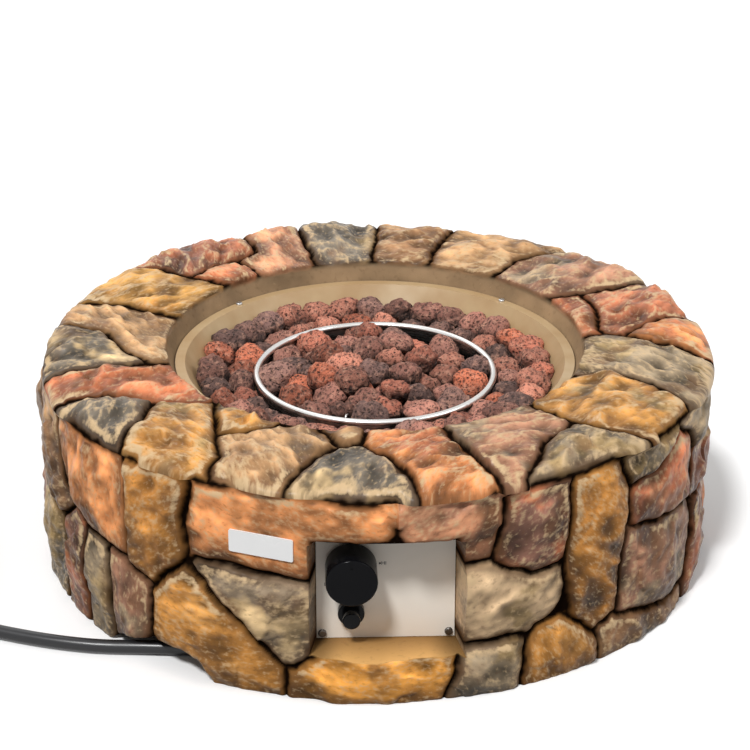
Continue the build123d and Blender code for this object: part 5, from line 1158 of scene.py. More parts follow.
@dataclass
class StoneShell:
    """Cast shell: raised stones on its wall and rim, its niche, and the plain casting inside."""

    height: float = 0.236
    wall_radius: float = 0.3425
    wall_top: float = 0.2135
    wall_seed: int = 11
    smeared_joints: tuple[Place, ...] = ((1.4, 3.2, 0.182),)
    inner_radius: float = 0.3286
    stone_top_share: float = 0.897
    columns: int = 720
    wall_rows: int = 128
    sharp_edge: float = 50.0
    foot_edge: float = 0.005
    niche_low: float = 0.0472
    niche_high: float = 0.1692
    niche_half: float = 0.0665
    niche_back: float = 0.3035
    niche_spread: float = 0.18889
    niche_rows: tuple[int, int] = (28, 106)
    niche_columns: int = 49
    # Sill paint: a painted shadow at the panel and a painted highlight along the front edge
    sill_shadow_and_highlight_colours: tuple[Colour, Colour] = ((0.25, 0.132, 0.045), (0.76, 0.425, 0.150))
    sill_brushing: float = -0.6
    sill_ends: Span = (0.55, 1.05)
    sill_shade: float = 0.62
    rim_rows: int = 115
    rim_seed: int = 29
    rim_line: Outline = ((0.2098, 0.2052), (0.2165, 0.2215), (0.2200, 0.2240), (0.3150, 0.2245))
    rim_drop: Span = (0.0275, 0.0110)
    bend_steps: int = 24
    lip_mottle: Pattern = Pattern(40.0, 3)
    lip_brushing: float = -0.35
    seam_width: float = 0.007
    seam_height: float = 0.0130
    seam_levels: Span = (0.16, 0.62)
    seam_lift: float = 0.0048
    seam_waves: Pattern = Pattern(11.0, 2)
    seam_fills: Pattern = Pattern(9.0, 2)
    filled_joints: tuple[Span, ...] = ((-37.0, 6.0), (46.0, 5.0), (20.0, 3.0), (9.0, 8.0))
    fill_reach: float = 0.012
    badge_stone: int = 1
    badge_plane: float = 0.34741
    badge_turn: float = -19.6
    badge_height: float = 0.162
    badge_half: Span = (0.0325, 0.0115)
    badge_limit: float = 30.0
    flat_ends: Span = (8.0, 11.0)
    flat_relief: float = 0.0006
    pad_ends: Span = (0.001, 0.007)
    pad_depth: float = 0.0004
    notch: Outline = ((-51.30, 0.0), (-47.46, 0.0156), (-40.94, 0.025), (-35.01, 0.025), (-30.97, 0.022),
                      (-28.56, 0.0))
    inside_mottle: Pattern = Pattern(30.0, 2)
    inside_light: float = 0.6
    roof_height: float = 0.2072

    def build(self, finish: Material, casting: Object) -> None:
        """Builds the shell's pieces.

        Args:
            finish: Painted stone.
            casting: CAD shell, whose inside is copied.
        """
        for name, start in (("front", -90.0), ("back", 90.0)):
            seat(self.make_wall(f"wall_stones_{name}", start), "pit", "cast_stone", finish, "stone_shell")
            seat(self.make_rim(f"rim_stones_{name}", start), "pit", "cast_stone", finish, "stone_shell")
        seat(self.make_inside(casting), "pit", "cast_stone", finish, "stone_shell")

    def make_grid(self, name: str, rows: int) -> tuple[Object, Array]:
        """Starts a piece as a flat grid.

        Args:
            name: Name of the piece.
            rows: How many rows of faces it has.

        Returns:
            The piece, and its flat places between -0.5 and 0.5.
        """
        deselect()
        bpy.ops.mesh.primitive_grid_add(x_subdivisions=self.columns, y_subdivisions=rows, size=1.0)
        piece = new_piece(name)
        return piece, get_places(piece.data)

    @staticmethod
    def cover(mesh: Mesh, places: Array, colours: Array, grain: Array) -> None:
        """Moves a mesh to its places and lays paint and grain on it.

        Args:
            mesh: Mesh of a piece of the shell.
            places: Place of each vertex.
            colours: Paint of each vertex.
            grain: Coordinates along the stones' grain.
        """
        set_places(mesh, places)
        paint(mesh, STONE_PAINT, colours)
        lay_grain(mesh, grain)

    def wall_course(self) -> StoneCourse:
        """Lays out the stones round the wall.

        Returns:
            The course.
        """
        outlines = []
        for shares in WALL_STONE_SHARES:
            corners = np.array(shares)
            corners[:, 1] = np.minimum(corners[:, 1], self.stone_top_share) * self.height
            outlines.append(corners)
        return StoneCourse(outlines, WALL_COLOURS, self.wall_seed, WALL_FAMILIES, self.smeared_joints)

    def seam(self, angle: Array) -> tuple[Array, Array]:
        """Course of the joint between wall and rim.

        Args:
            angle: Degrees from the front.

        Returns:
            How far the joint rises, and how far it is filled, from 0 to 1.
        """
        ring = round_places(angle, self.wall_radius, np.zeros(len(angle)))
        rise = self.seam_lift * self.seam_waves.at(ring, 61)
        filled = smooth_step(0.05, 0.55, self.seam_fills.at(ring, 62))
        for middle, half in self.filled_joints:
            filled = np.maximum(filled, 1.0 - smooth_step(half * 0.6, half, np.abs(angle - middle)))
        return rise, filled

    def close_seam(self, height: Array, away: Array, filled: Array) -> Array:
        """Gives wall and rim the same height where they meet.

        Args:
            height: Height over the joints.
            away: Distance from the joint.
            filled: How far the joint is filled.

        Returns:
            The new height.
        """
        share = 1.0 - smooth_step(0.0, self.seam_width, away)
        least, more = self.seam_levels
        return mix(height, self.seam_height * (least + more * filled), share)

    def niche_edge(self) -> float:
        """Finds where the niche meets the wall.

        Returns:
            Half the niche's width there, in degrees.
        """
        half = self.niche_half
        for _ in range(20):
            front = math.sqrt(self.wall_radius ** 2 - half ** 2)
            half = self.niche_half + self.niche_spread * (front - self.niche_back)
        return math.degrees(math.asin(half / self.wall_radius))

    def foot(self, angle: Array) -> Array:
        """Height of the wall's foot, which rises over the hose."""
        return np.interp(angle, *np.array(self.notch).T)

    def make_wall(self, name: str, start: float) -> Object:
        """Half of the wall, from the ground to the rim.

        Args:
            name: Name of the piece.
            start: Degrees from the front where the half starts.

        Returns:
            The new piece.
        """
        piece, grid = self.make_grid(name, self.wall_rows)
        column = np.rint((grid[:, 0] + 0.5) * self.columns)
        row = np.rint((grid[:, 1] + 0.5) * self.wall_rows)
        edge = self.niche_edge()
        middle = self.columns / 2
        stops = [0, middle - self.niche_columns, middle + self.niche_columns, self.columns]
        angle = np.interp(column, stops, [start, start + 90.0 - edge, start + 90.0 + edge, start + 180.0])
        first, last = self.niche_rows
        low = self.foot(angle)
        below = low + (self.niche_low - low) * row / first
        beside = np.interp(row, self.niche_rows, [self.niche_low, self.niche_high])
        top = self.wall_top + self.seam(angle)[0]
        above = self.niche_high + (top - self.niche_high) * (row - last) / (self.wall_rows - last)
        up = np.where(row <= first, below, np.where(row <= last, beside, above))
        radius, relief = self.wall_surface(angle, up)
        self.cover(piece.data, round_places(angle, radius, up), relief.paint, relief.grain)
        self.turn_in(piece, row < 0.5, self.foot_place)
        if start < 0.0:
            self.open_niche(piece, column, row)
        smooth(piece, self.sharp_edge)
        return piece

    def wall_surface(self, angle: Array, up: Array) -> tuple[Array, Relief]:
        """Distance from the centre line and relief of places on the wall.

        Args:
            angle: Degrees from the front.
            up: Height over the ground.

        Returns:
            Radius of each place, and the relief of the stones there.
        """
        plain = np.full(len(angle), self.wall_radius)
        places = round_places(angle, plain, up)
        free_edge = up - self.foot(angle) + self.foot_edge
        rise, filled = self.seam(angle)
        away = self.wall_top + rise - up
        limit = away + self.fill_reach * filled
        relief = self.wall_course().relief(Spots(angle, up, plain, places), limit, free_edge)
        radius = plain + self.close_seam(relief.height, away, filled)
        flattened = self.flatten_badge(angle, up, radius)
        return np.where(relief.owner == self.badge_stone, flattened, radius), relief

    def flatten_badge(self, angle: Array, up: Array, radius: Array) -> Array:
        """Flattens the stone that carries the badge, and sinks a pad for the badge into it.

        Args:
            angle: Degrees from the front.
            up: Height over the ground.
            radius: Distance from the centre line.

        Returns:
            The new distance from the centre line.
        """
        turns = np.array(WALL_STONE_SHARES[self.badge_stone])[:, 0]
        middle = (turns.min() + turns.max()) / 2.0
        aside = np.radians(np.clip(angle - middle, -self.badge_limit, self.badge_limit))
        flat = self.badge_plane / np.cos(aside)
        near_badge = 1.0 - smooth_step(*self.flat_ends, np.abs(angle - middle))
        radius = mix(radius, np.minimum(radius, flat + self.flat_relief), near_badge)
        across = self.badge_plane * (np.tan(aside) - math.tan(math.radians(self.badge_turn - middle)))
        half_width, half_height = self.badge_half
        outside = np.maximum(np.abs(across) - half_width, np.abs(up - self.badge_height) - half_height)
        return mix(radius, flat - self.pad_depth, 1.0 - smooth_step(*self.pad_ends, outside))

    def turn_in(self, piece: Object, chosen: Array,
                move: Callable[[Array], Array]) -> None:
        """Extrudes edges between chosen vertices and moves the new ones.

        Args:
            piece: Piece to change.
            chosen: Which vertices are at the edge.
            move: Gives the new places for the old ones.
        """
        pick(piece, chosen)
        bpy.ops.mesh.select_mode(type="EDGE")
        bpy.ops.mesh.extrude_edges_move()
        bpy.ops.object.mode_set(mode="OBJECT")
        fresh = get_selected(piece.data)
        places = get_places(piece.data)
        shift = move(places[fresh]) - places[fresh]
        places[fresh] += shift
        set_places(piece.data, places)
        layer = piece.data.attributes[STONE_GRAIN].data
        grain = read(layer, "vector", 3)
        grain[fresh] += shift
        layer.foreach_set("vector", grain.ravel())

    def foot_place(self, places: Array) -> Array:
        """Places at the inside of the casting for places along the wall's foot."""
        inward = self.inner_radius / np.hypot(places[:, 0], places[:, 1])
        return np.column_stack((places[:, 0] * inward, places[:, 1] * inward, places[:, 2]))

    def niche_place(self, places: Array) -> Array:
        """Moves the niche's outer edge in to the panel.

        Args:
            places: Places on the edge.

        Returns:
            Places at the panel's back.
        """
        half = self.niche_half + self.niche_spread * (-places[:, 1] - self.niche_back)
        across = places[:, 0] * self.niche_half / half
        return np.column_stack((across, np.full(len(places), -self.niche_back), places[:, 2]))

    def open_niche(self, piece: Object, column: Array, row: Array) -> None:
        """Cuts the niche's opening and turns its edge in to the panel.

        Args:
            piece: Front half of the wall.
            column: Grid column of each of its first vertices.
            row: Grid row of each of its first vertices.
        """
        aside = np.abs(column - self.columns / 2)
        first, last = self.niche_rows
        within = (aside <= self.niche_columns) & (row >= first) & (row <= last)
        inside = (aside < self.niche_columns) & (row > first) & (row < last)
        total = len(piece.data.vertices)
        pick(piece, inside)
        bpy.ops.mesh.delete(type="VERT")
        bpy.ops.object.mode_set(mode="OBJECT")
        edge = padded(within & ~inside, total)[~padded(inside, total)]
        self.turn_in(piece, edge, self.niche_place)
        self.paint_sill(piece.data, edge)

    def paint_sill(self, mesh: Mesh, edge: Array) -> None:
        """Paints the niche's sill: a painted shadow dark at the panel, a painted highlight pale along its
        front edge, and painted shade towards its sides.

        Args:
            mesh: Front half of the wall, with the sides of its niche still selected at the panel.
            edge: Which of its first vertices are on the niche's front edge.
        """
        places = get_places(mesh)
        low = places[:, 2] < self.niche_low + 0.0005
        aside = np.abs(places[:, 0]) / self.niche_half
        # Painted shade towards the sides of the sill
        bright = 1.0 - self.sill_shade * smooth_step(*self.sill_ends, aside)[:, None]
        colours = read(mesh.color_attributes[STONE_PAINT].data, "color", 4)
        # Painted shadow at the panel and painted highlight along the front edge
        for row, colour in zip((get_selected(mesh), padded(edge, len(places))), self.sill_shadow_and_highlight_colours):
            on_row = row & low
            colours[on_row, :3] = np.array(colour) * bright[on_row]
            colours[on_row, 3] = self.sill_brushing
        paint(mesh, STONE_PAINT, colours)

    def rim_section(self) -> Array:
        """Section of the rim under its stones, from the well to the wall.

        Returns:
            Radius and height of each corner.
        """
        radius, up = self.rim_line[-1]
        reach, drop = self.rim_drop
        turns = np.linspace(0.0, math.pi / 2.0, self.bend_steps)[1:]
        bend = np.column_stack((radius + reach * np.sin(turns), up - drop * (1.0 - np.cos(turns))))
        return np.vstack((np.array(self.rim_line), bend))

    def rim_course(self, length: Array) -> StoneCourse:
        """Course of stones on the rim.

        Args:
            length: Distance along the rim's section of each of its corners.

        Returns:
            The course.
        """
        stops = (length[2], length[3], length[-1] - 0.002)
        outlines = []
        for shares in RIM_STONE_SHARES:
            corners = np.array(shares)
            corners[:, 1] = np.interp(corners[:, 1], (0.0, 0.8, 1.0), stops)
            outlines.append(corners)
        return StoneCourse(outlines, RIM_COLOURS, self.rim_seed, upright=False, stand=0.0113, edge=0.017,
                           chip=0.0042, rough=0.0034, stretch=(0.3, 1.3), brushing=(1.0, 0.62), tone=1.22)

    def make_rim(self, name: str, start: float) -> Object:
        """Half of the rim, from the well's foot to the top of the wall.

        Args:
            name: Name of the piece.
            start: Degrees from the front where the half starts.

        Returns:
            The new piece.
        """
        section = self.rim_section()
        steps = np.hypot(*np.diff(section, axis=0).T)
        length = np.concatenate(([0.0], np.cumsum(steps)))
        slopes = np.gradient(section, length, axis=0)
        slopes[-1] = (0.0, -1.0)
        piece, grid = self.make_grid(name, self.rim_rows)
        angle = start + 180.0 * (grid[:, 0] + 0.5)
        along = length[-1] * (0.5 - grid[:, 1])
        values = (*section.T, *slopes.T)
        radius, up, rise, inward = (np.interp(along, length, value) for value in values)
        lift, filled = self.seam(angle)
        bend_radius, bend_top = self.rim_line[-1]
        fall = np.where(radius > bend_radius, 1.0 - lift / self.rim_drop[1], 1.0)
        places = round_places(angle, radius, bend_top - (bend_top - up) * fall)
        away = length[-1] - along
        spots = Spots(angle, along, radius, places)
        limit = away + self.fill_reach * filled
        relief = self.rim_course(length).relief(spots, limit, along - length[1])
        lip = (1.0 - smooth_step(length[1] - 0.003, length[2] + 0.001, along))[:, None]
        mottle = (1.0 + 0.10 * self.lip_mottle.at(places, 5))[:, None]
        plain = np.column_stack((np.array(LIP_COLOUR) * mottle, np.full(len(mottle), self.lip_brushing)))
        height = self.close_seam(np.where(along > length[1], relief.height, 0.0), away, filled)
        places += round_places(angle, -inward, rise) * height[:, None]
        grain = np.where(lip > 0.5, places, relief.grain)
        self.cover(piece.data, places, mix(relief.paint, plain, lip), grain)
        smooth(piece, self.sharp_edge)
        return piece

    def make_inside(self, casting: Object) -> Object:
        """Plain inside of the casting, without the faces that the stones cover.

        Args:
            casting: CAD shell to copy.

        Returns:
            The new piece.
        """
        piece = copy_node(casting, "shell_inside")
        bpy.ops.mesh.select_mode(type="FACE")
        bpy.ops.mesh.select_all(action="DESELECT")
        bpy.ops.object.mode_set(mode="OBJECT")
        for face in piece.data.polygons:
            face.select = self.is_covered(face.center)
        bpy.ops.object.mode_set(mode="EDIT")
        bpy.ops.mesh.delete(type="FACE")
        bpy.ops.object.mode_set(mode="OBJECT")
        places = get_places(piece.data)
        mottle = (1.0 + 0.3 * self.inside_mottle.at(places, 8))[:, None]
        paint(piece.data, STONE_PAINT, np.array(LIP_COLOUR) * self.inside_light * mottle)
        lay_grain(piece.data, places)
        smooth(piece, 30.0)
        return piece

    def is_covered(self, centre: Vector) -> bool:
        """Tells whether a face of the casting lies under the stones, the lip or the niche's sides.

        Args:
            centre: Middle of the face.

        Returns:
            Whether it is covered.
        """
        radius = math.hypot(centre.x, centre.y)
        outer = radius > self.inner_radius + 0.001
        roof = centre.z > self.roof_height and radius > self.rim_line[0][0] - 0.003
        wide = abs(centre.x) < self.niche_half + 0.0095
        tall = self.niche_low - 0.0005 < centre.z < self.niche_high + 0.0005
        niche = wide and tall and centre.y < -self.niche_back - 0.0003
        return outer or roof or niche


# Fire bowl and rocks


@dataclass
class LavaBed:
    """Lava rocks in one part of the bowl, roughened from their CAD solids."""

    node: str
    seed: int
    inmost: float
    outmost: Span
    growth: float = 0.0026
    lumps: Pattern = Pattern(52.0, 2)
    lump: float = 0.0044
    pits: Pattern = Pattern(150.0, 2)
    pit: float = 0.0020
    cuts: int = 4
    floor: float = 0.1608
    # Painted shade and light: darker on faces that turn down, lighter on faces open to the sky and on lumps
    light: Span = (0.52, 1.75)
    shadow: float = 0.10
    sky: float = 1.06
    sky_ends: Span = (-0.32, 0.80)
    lump_light: float = 0.3
    colours: tuple[Colour, ...] = (
        (0.300, 0.100, 0.062), (0.215, 0.094, 0.068), (0.330, 0.096, 0.050), (0.165, 0.086, 0.068),
        (0.290, 0.124, 0.090), (0.125, 0.068, 0.056), (0.330, 0.128, 0.084),
    )

    def build(self, finish: Material, bed: Object) -> None:
        """Builds the rocks.

        Args:
            finish: Porous rock.
            bed: CAD rocks to copy.
        """
        piece = copy_node(bed, f"{self.node}_rough")
        bpy.ops.mesh.subdivide(number_cuts=self.cuts)
        bpy.ops.mesh.vertices_smooth(factor=0.5, repeat=4)
        bpy.ops.object.mode_set(mode="OBJECT")
        mesh = piece.data
        rock = self.rock_numbers(mesh)
        places, normals = get_places(mesh), read(mesh.vertices, "normal", 3)
        lumps = self.lumps.at(places, self.seed)
        pits = np.abs(self.pits.at(places, self.seed + 1))
        outward = self.growth + self.lump * lumps - self.pit * (1.0 - smooth_step(0.05, 0.5, pits))
        set_places(mesh, self.kept_in(places + normals * outward[:, None]))
        chance = np.random.default_rng(self.seed)
        chosen = chance.integers(0, len(self.colours), rock.max() + 1)
        light = chance.uniform(*self.light, rock.max() + 1)
        colour = np.array(self.colours)[chosen[rock]] * light[rock][:, None]
        # Painted shade on faces that turn down, painted light on faces open to the sky and on the lumps
        painted_sky_shade = self.shadow + self.sky * smooth_step(*self.sky_ends, normals[:, 2])
        paint(mesh, ROCK_PAINT, colour * (painted_sky_shade * (1.0 + self.lump_light * lumps))[:, None])
        smooth(piece, 60.0)
        seat(piece, "pit", "lava_rock", finish, self.node)

    def kept_in(self, places: Array) -> Array:
        """Places pressed back between the walls that hold the rocks.

        Args:
            places: Places on the rocks.

        Returns:
            The same places, none of them in a wall.
        """
        x, y, z = places.T
        radius = np.hypot(x, y)
        low, slope = self.outmost
        most = low + slope * (z - self.floor)
        held = np.clip(radius, self.inmost, most) / np.maximum(radius, 0.001)
        return np.column_stack((x * held, y * held, np.maximum(z, self.floor)))

    @staticmethod
    def rock_numbers(mesh: Mesh) -> Array:
        """Numbers the rocks, which are found along their edges.

        Args:
            mesh: Mesh of all the rocks.

        Returns:
            Number of the rock that each vertex belongs to.
        """
        ends = read(mesh.edges, "vertices", 2, int).T
        label = np.arange(len(mesh.vertices))
        while True:
            lowest = label[ends].min(axis=0)
            fresh = label.copy()
            for end in ends:
                np.minimum.at(fresh, end, lowest)
            fresh = fresh[fresh]
            if np.array_equal(fresh, label):
                break
            label = fresh
        return np.unique(label, return_inverse=True)[1]


# Gas hose


@dataclass
class GasHose:
    """Rubber hose from the valve, through the notch, to its coil and regulator."""

    diameter: float = 0.014
    length: float = 3.03
    coil_middle: Span = (-0.515, -0.050)
    coil_outer: float = 0.094
    pitch: float = 0.015
    whole_turns: int = 5
    first_angle: float = 244.0
    climb: float = 0.25
    low: float = 0.0084
    high: float = 0.023
    points_per_turn: int = 24
    lead_in: float = 0.014
    lead_out: float = 0.048
    tail: float = 0.030
    route: tuple[Place, ...] = (
        (-0.0620, -0.2750, 0.0802), (-0.0620, -0.2750, 0.0572), (-0.0710, -0.2737, 0.0340),
        (-0.0885, -0.2712, 0.0165), (-0.1110, -0.2677, 0.0071), (-0.1500, -0.2615, 0.0071),
        (-0.1920, -0.2525, 0.0071), (-0.2360, -0.2485, 0.0071), (-0.2800, -0.2460, 0.0071),
        (-0.3210, -0.2365, 0.0071), (-0.3610, -0.2228, 0.0071), (-0.4020, -0.2055, 0.0072),
        (-0.4460, -0.1860, 0.0076),
    )
    with_pieces: tuple[str, ...] = (
        "coil_tie", "regulator_ferrule", "regulator_body", "regulator_bonnet", "regulator_screws",
        "inlet_nipple", "connector_nut",
    )

    def turns(self) -> float:
        """Turns that are wound, half of them in each layer."""
        lean = math.degrees(math.atan2(self.pitch, 2.0 * math.pi * self.coil_outer))
        return self.whole_turns + (self.first_angle - 180.0 + lean) / 360.0

    def coil_place(self, wound: float) -> Vector:
        """Point of the coil.

        Args:
            wound: Turns from the coil's innermost point, less than 0 in the lower layer.

        Returns:
            The point.
        """
        inmost = self.coil_outer - self.pitch * self.turns() / 2.0
        if abs(wound) < self.climb:
            radius = inmost + self.pitch * (wound ** 2 / (2.0 * self.climb) + self.climb / 2.0)
        else:
            radius = inmost + self.pitch * abs(wound)
        angle = math.radians(self.first_angle - 360.0 * (wound + self.turns() / 2.0))
        up = self.low + (self.high - self.low) * smooth_step(-self.climb, self.climb, wound)
        x, y = self.coil_middle
        return Vector((x + radius * math.cos(angle), y + radius * math.sin(angle), up))

    def points(self) -> list[Vector]:
        """Control points of the whole hose, from the valve to the regulator.

        Returns:
            The points in order.
        """
        half = self.turns() / 2.0
        count = round(self.turns() * self.points_per_turn)
        coil = [self.coil_place(-half + self.turns() * step / count) for step in range(count + 1)]
        way = (self.coil_place(-half + 0.001) - coil[0]).normalized()
        start = coil[0] - way * self.lead_in
        route = [Vector(place) for place in self.route]
        return [*route, start - way * self.lead_out, start, *coil, coil[-1] + Vector((0.0, self.tail, 0.0))]

    def build(self, finish: Material) -> None:
        """Args:
            finish: Black rubber.
        """
        points = self.points()
        curve = bpy.data.curves.new("gas_hose_line", "CURVE")
        curve.dimensions = "3D"
        curve.bevel_depth = self.diameter / 2.0
        curve.bevel_resolution = 5
        curve.resolution_u = 6
        curve.use_fill_caps = True
        spline = curve.splines.new("NURBS")
        spline.points.add(len(points) - 1)
        for slot, place in zip(spline.points, points):
            slot.co = (*place, 1.0)
        spline.order_u = 3
        spline.use_endpoint_u = True
        spline.use_smooth = True
        piece = bpy.data.objects.new("gas_hose_line", curve)
        bpy.context.scene.collection.objects.link(piece)
        seat(piece, "pit", "hose_rubber", finish, "gas_hose", "hose_coil")


# Dial


@dataclass
class DialMarks:
    """Printed marks and words on the plate, round the knob."""

    middle: Span = (-0.033, 0.1282)
    front: float = -0.3052
    reach: float = 0.0275
    word_reach: float = 0.0312
    word_size: float = 0.0052
    mark_size: float = 0.0012
    words: tuple[tuple[str, float], ...] = (("OFF", 0.0), ("HI", 90.0), ("LO", 225.0))

    def build(self, finish: Material) -> None:
        """Builds the marks as one flat piece.

        Args:
            finish: Dark print.
        """
        upright = (math.pi / 2.0, 0.0, 0.0)
        prints = []
        for word, turn in self.words:
            deselect()
            bpy.ops.object.text_add(location=self.place(turn, self.word_reach), rotation=upright)
            text = bpy.context.object
            text.data.body = word
            text.data.size = self.word_size
            text.data.align_x = "CENTER"
            text.data.align_y = "CENTER"
            bpy.ops.object.convert(target="MESH")
            prints.append(bpy.context.object)
            deselect()
            bpy.ops.mesh.primitive_circle_add(vertices=4, radius=self.mark_size, fill_type="NGON",
                                              location=self.place(turn, self.reach), rotation=upright)
            prints.append(bpy.context.object)
        deselect()
        for item in prints:
            item.select_set(True)
        bpy.context.view_layer.objects.active = prints[0]
        bpy.ops.object.join()
        piece = new_piece("dial_marks")
        settle(piece)
        seat(piece, "pit", "black_plastic", finish)

    def place(self, turn: float, reach: float) -> Place:
        """Point on the plate, by degrees clockwise from the top and distance from the knob's axis."""
        x, z = self.middle
        return x + reach * math.sin(math.radians(turn)), self.front, z + reach * math.cos(math.radians(turn))


# Studio


@dataclass
class Studio:
    """Pale floor, soft lamps and the camera."""

    eye: Place = (-0.0756, -2.2789, 1.2228)
    pitch_down: float = 24.48
    azimuth: float = -1.9
    lens: float = 114.35
    floor_size: float = 16.0
    floor_drop: float = 0.0005
    floor_greys: Span = (0.36, 0.92)
    floor_glow: float = 0.12
    glow_ends: Span = (0.335, 0.36)
    sky_levels: Span = (0.24, 1.0)
    aim: Place = (0.0, 0.0, 0.12)
    lamps: tuple[tuple[str, Place, float, float], ...] = (
        ("key_lamp", (-0.9, -1.8, 3.2), 9.0, 2.6),
        ("side_lamp", (2.2, -0.7, 2.0), 30.0, 0.70),
        ("back_lamp", (-1.2, 2.2, 2.2), 40.0, 0.45),
    )

    def build(self) -> None:
        """Builds the studio."""
        self.make_floor()
        self.make_world()
        for lamp in self.lamps:
            self.make_lamp(*lamp)
        self.make_camera()

    def make_floor(self) -> None:
        """Floor that looks white in full light and keeps the shadow."""
        deselect()
        bpy.ops.mesh.primitive_plane_add(size=self.floor_size, location=(0.0, 0.0, -self.floor_drop))
        floor = new_piece("studio_floor")
        settle(floor)
        sketch = Sketch("studio_floor")
        straight = self.straight_rays(sketch.tree)
        lit, seen = ((grey, grey, grey) for grey in self.floor_greys)
        away = sketch.add("ShaderNodeVectorMath", operation="LENGTH")
        sketch.feed(sketch.place, away.inputs[0])
        glow = sketch.span(away.outputs["Value"], 0.0, self.floor_glow, self.glow_ends)
        sketch.dress(
            Base_Color=sketch.blend(straight, lit, seen),
            Roughness=0.9,
            Specular_IOR_Level=0.1,
            Emission_Color=(1.0, 1.0, 1.0),
            Emission_Strength=sketch.calculate("MULTIPLY", glow, straight),
        )
        floor.data.materials.append(sketch.material)

    @staticmethod
    def straight_rays(tree: NodeTree) -> Socket:
        """Value that is 1 for rays that show the background, also in mirrors and glass.

        Args:
            tree: Node tree that takes the nodes.

        Returns:
            The value's socket.
        """
        path = tree.nodes.new("ShaderNodeLightPath")
        value = path.outputs["Is Camera Ray"]
        for name in ("Is Glossy Ray", "Is Transmission Ray"):
            node = tree.nodes.new("ShaderNodeMath")
            node.operation = "MAXIMUM"
            tree.links.new(value, node.inputs[0])
            tree.links.new(path.outputs[name], node.inputs[1])
            value = node.outputs[0]
        return value

    def make_world(self) -> None:
        """Soft even light from all round, white where the camera sees it."""
        world = bpy.data.worlds.new("studio")
        bpy.context.scene.world = world
        world.use_nodes = True
        tree = world.node_tree
        sky = tree.nodes["Background"]
        sky.inputs["Color"].default_value = (1.0, 1.0, 1.0, 1.0)
        level = tree.nodes.new("ShaderNodeMapRange")
        for name, number in zip(("To Min", "To Max"), self.sky_levels):
            level.inputs[name].default_value = number
        tree.links.new(self.straight_rays(tree), level.inputs["Value"])
        tree.links.new(level.outputs["Result"], sky.inputs["Strength"])

    def make_lamp(self, name: str, place: Place, spread: float, power: float) -> None:
        """Far soft lamp that points at the shell and lights the whole floor evenly.

        Args:
            name: Name of the lamp.
            place: Where it hangs.
            spread: Angle of its disc, in degrees.
            power: Watts on each square metre.
        """
        deselect()
        bpy.ops.object.light_add(type="SUN", location=place)
        lamp = bpy.context.object
        lamp.name = name
        lamp.data.angle = math.radians(spread)
        lamp.data.energy = power
        way = Vector(self.aim) - Vector(place)
        lamp.rotation_euler = way.to_track_quat("-Z", "Y").to_euler()

    def make_camera(self) -> None:
        """Camera at the photograph's viewing angle."""
        deselect()
        turn = (math.radians(90.0 - self.pitch_down), 0.0, math.radians(self.azimuth))
        bpy.ops.object.camera_add(location=self.eye, rotation=turn)
        camera = bpy.context.object
        camera.data.lens = self.lens
        camera.data.sensor_width = 36.0
        camera.data.clip_end = 50.0
        bpy.context.scene.camera = camera
        bpy.context.scene.view_settings.view_transform = "Standard"


# The whole scene


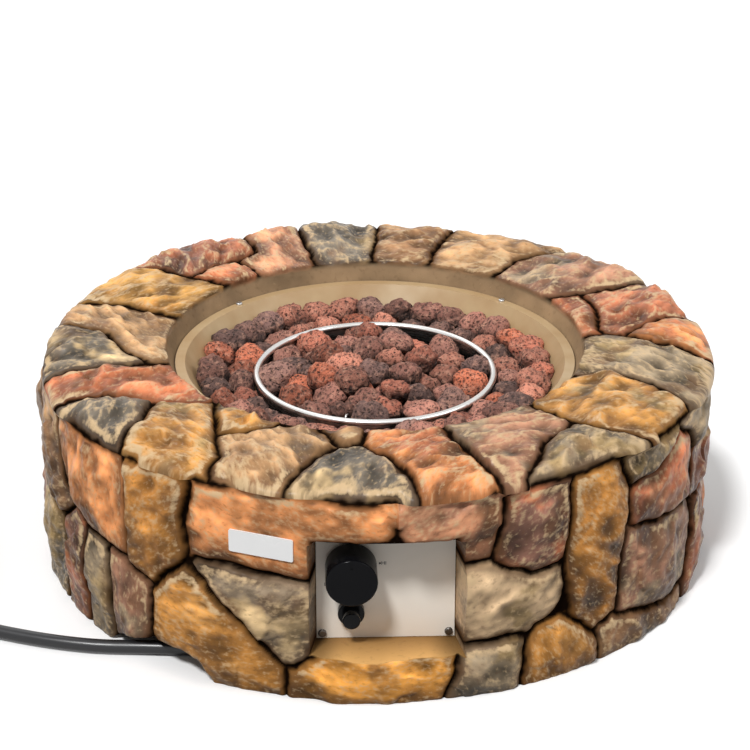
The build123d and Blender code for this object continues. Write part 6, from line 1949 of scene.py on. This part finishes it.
def make_finishes() -> dict[str, Material]:
    """Makes the finishes.

    Returns:
        Finish for each material slot of the record, and for the nodes that have one of their own.
    """
    steel = MetalFinish("brushed_steel", (0.72, 0.71, 0.69), (0.20, 0.38), (1.0, 1.0, 40.0), 18.0, 0.2)
    finishes = {
        "cast_stone": StoneFinish(),
        "badge": MouldedFinish("satin_white_plate", (0.93, 0.93, 0.92), (0.22, 0.34),
                               second=(0.88, 0.88, 0.88)),
        "bowl_steel": MouldedFinish("stained_enamel", (0.52, 0.37, 0.20), (0.35, 0.6), 120.0, 0.2,
                                    second=(0.42, 0.27, 0.13)),
        "bright_steel": steel,
        "zinc_steel": MetalFinish("zinc_plate", (0.60, 0.61, 0.62), (0.30, 0.48), grain=140.0),
        "brass": MetalFinish("machined_brass", (0.70, 0.50, 0.22), (0.22, 0.36), grain=200.0),
        "aluminium": MetalFinish("drawn_aluminium", (0.75, 0.76, 0.77), (0.25, 0.42), grain=160.0),
        "regulator_cast": MetalFinish("die_cast_grey", (0.42, 0.43, 0.44), (0.42, 0.6), grain=300.0,
                                      relief=0.35),
        "lava_rock": RockFinish(),
        "white_ceramic": MouldedFinish("white_glaze", (0.80, 0.78, 0.73), (0.12, 0.22), 90.0, 0.05),
        "black_plastic": MouldedFinish("satin_black_plastic", (0.005, 0.005, 0.006), (0.18, 0.28), 300.0, 0.1,
                                       shine=0.07),
        "gloss_black": MouldedFinish("gloss_black_plastic", (0.004, 0.004, 0.005), (0.08, 0.16), 200.0, 0.05,
                                     shine=0.12),
        "hose_rubber": MouldedFinish("black_rubber", (0.014, 0.014, 0.016), (0.28, 0.42), 400.0, 0.15),
        "lead_rubber": MouldedFinish("red_silicone", (0.30, 0.035, 0.016), (0.4, 0.55), 300.0, 0.1),
        "tie_plastic": MouldedFinish("pale_tie_plastic", (0.72, 0.72, 0.69), (0.35, 0.5), 200.0, 0.1),
        "burner_pan": replace(steel, name="sooted_steel", soot=(0.166, 0.188)),
        "control_panel": MouldedFinish("painted_plate", (0.92, 0.86, 0.77), (0.30, 0.45),
                                       second=(0.88, 0.82, 0.73)),
        "panel_screws": MetalFinish("dark_steel", (0.16, 0.15, 0.14), (0.30, 0.44), grain=140.0),
        "burner_ring": MetalFinish("burnt_steel", (0.17, 0.14, 0.12), (0.35, 0.55), grain=120.0),
    }
    return {name: finish.make() for name, finish in finishes.items()}


def dress_nodes(frame: dict, finishes: dict[str, Material]) -> None:
    """Gives each CAD node its own finish, or the one of its slot.

    Args:
        frame: Loaded frame.
        finishes: Finish of each slot, and of the nodes that have one of their own.
    """
    for part in frame["record"]["subparts"]:
        node = frame["nodes"][part["node"]]
        finish = finishes.get(part["node"]) or finishes[part["material_slot"]]
        node.data.materials.clear()
        node.data.materials.append(finish)
        log.info("node %s takes %s", part["node"], finish.name)


def main() -> None:
    """Builds the dressed fire pit."""
    logging.basicConfig(level=logging.INFO, format="%(name)s: %(message)s")
    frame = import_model()
    finishes = make_finishes()
    dress_nodes(frame, finishes)
    Studio().build()
    GasHose().build(finishes["hose_rubber"])
    DialMarks().build(finishes["black_plastic"])
    StoneShell().build(finishes["cast_stone"], frame["nodes"]["stone_shell"])
    inner = LavaBed("lava_rocks_inner", 3, inmost=0.0, outmost=(0.1225, 0.0), growth=0.0032)
    outer = LavaBed("lava_rocks_outer", 4, inmost=0.1275, outmost=(0.1696, 0.613))
    for bed in (inner, outer):
        bed.build(finishes["lava_rock"], frame["nodes"][bed.node])


if __name__ == "__main__":
    main()
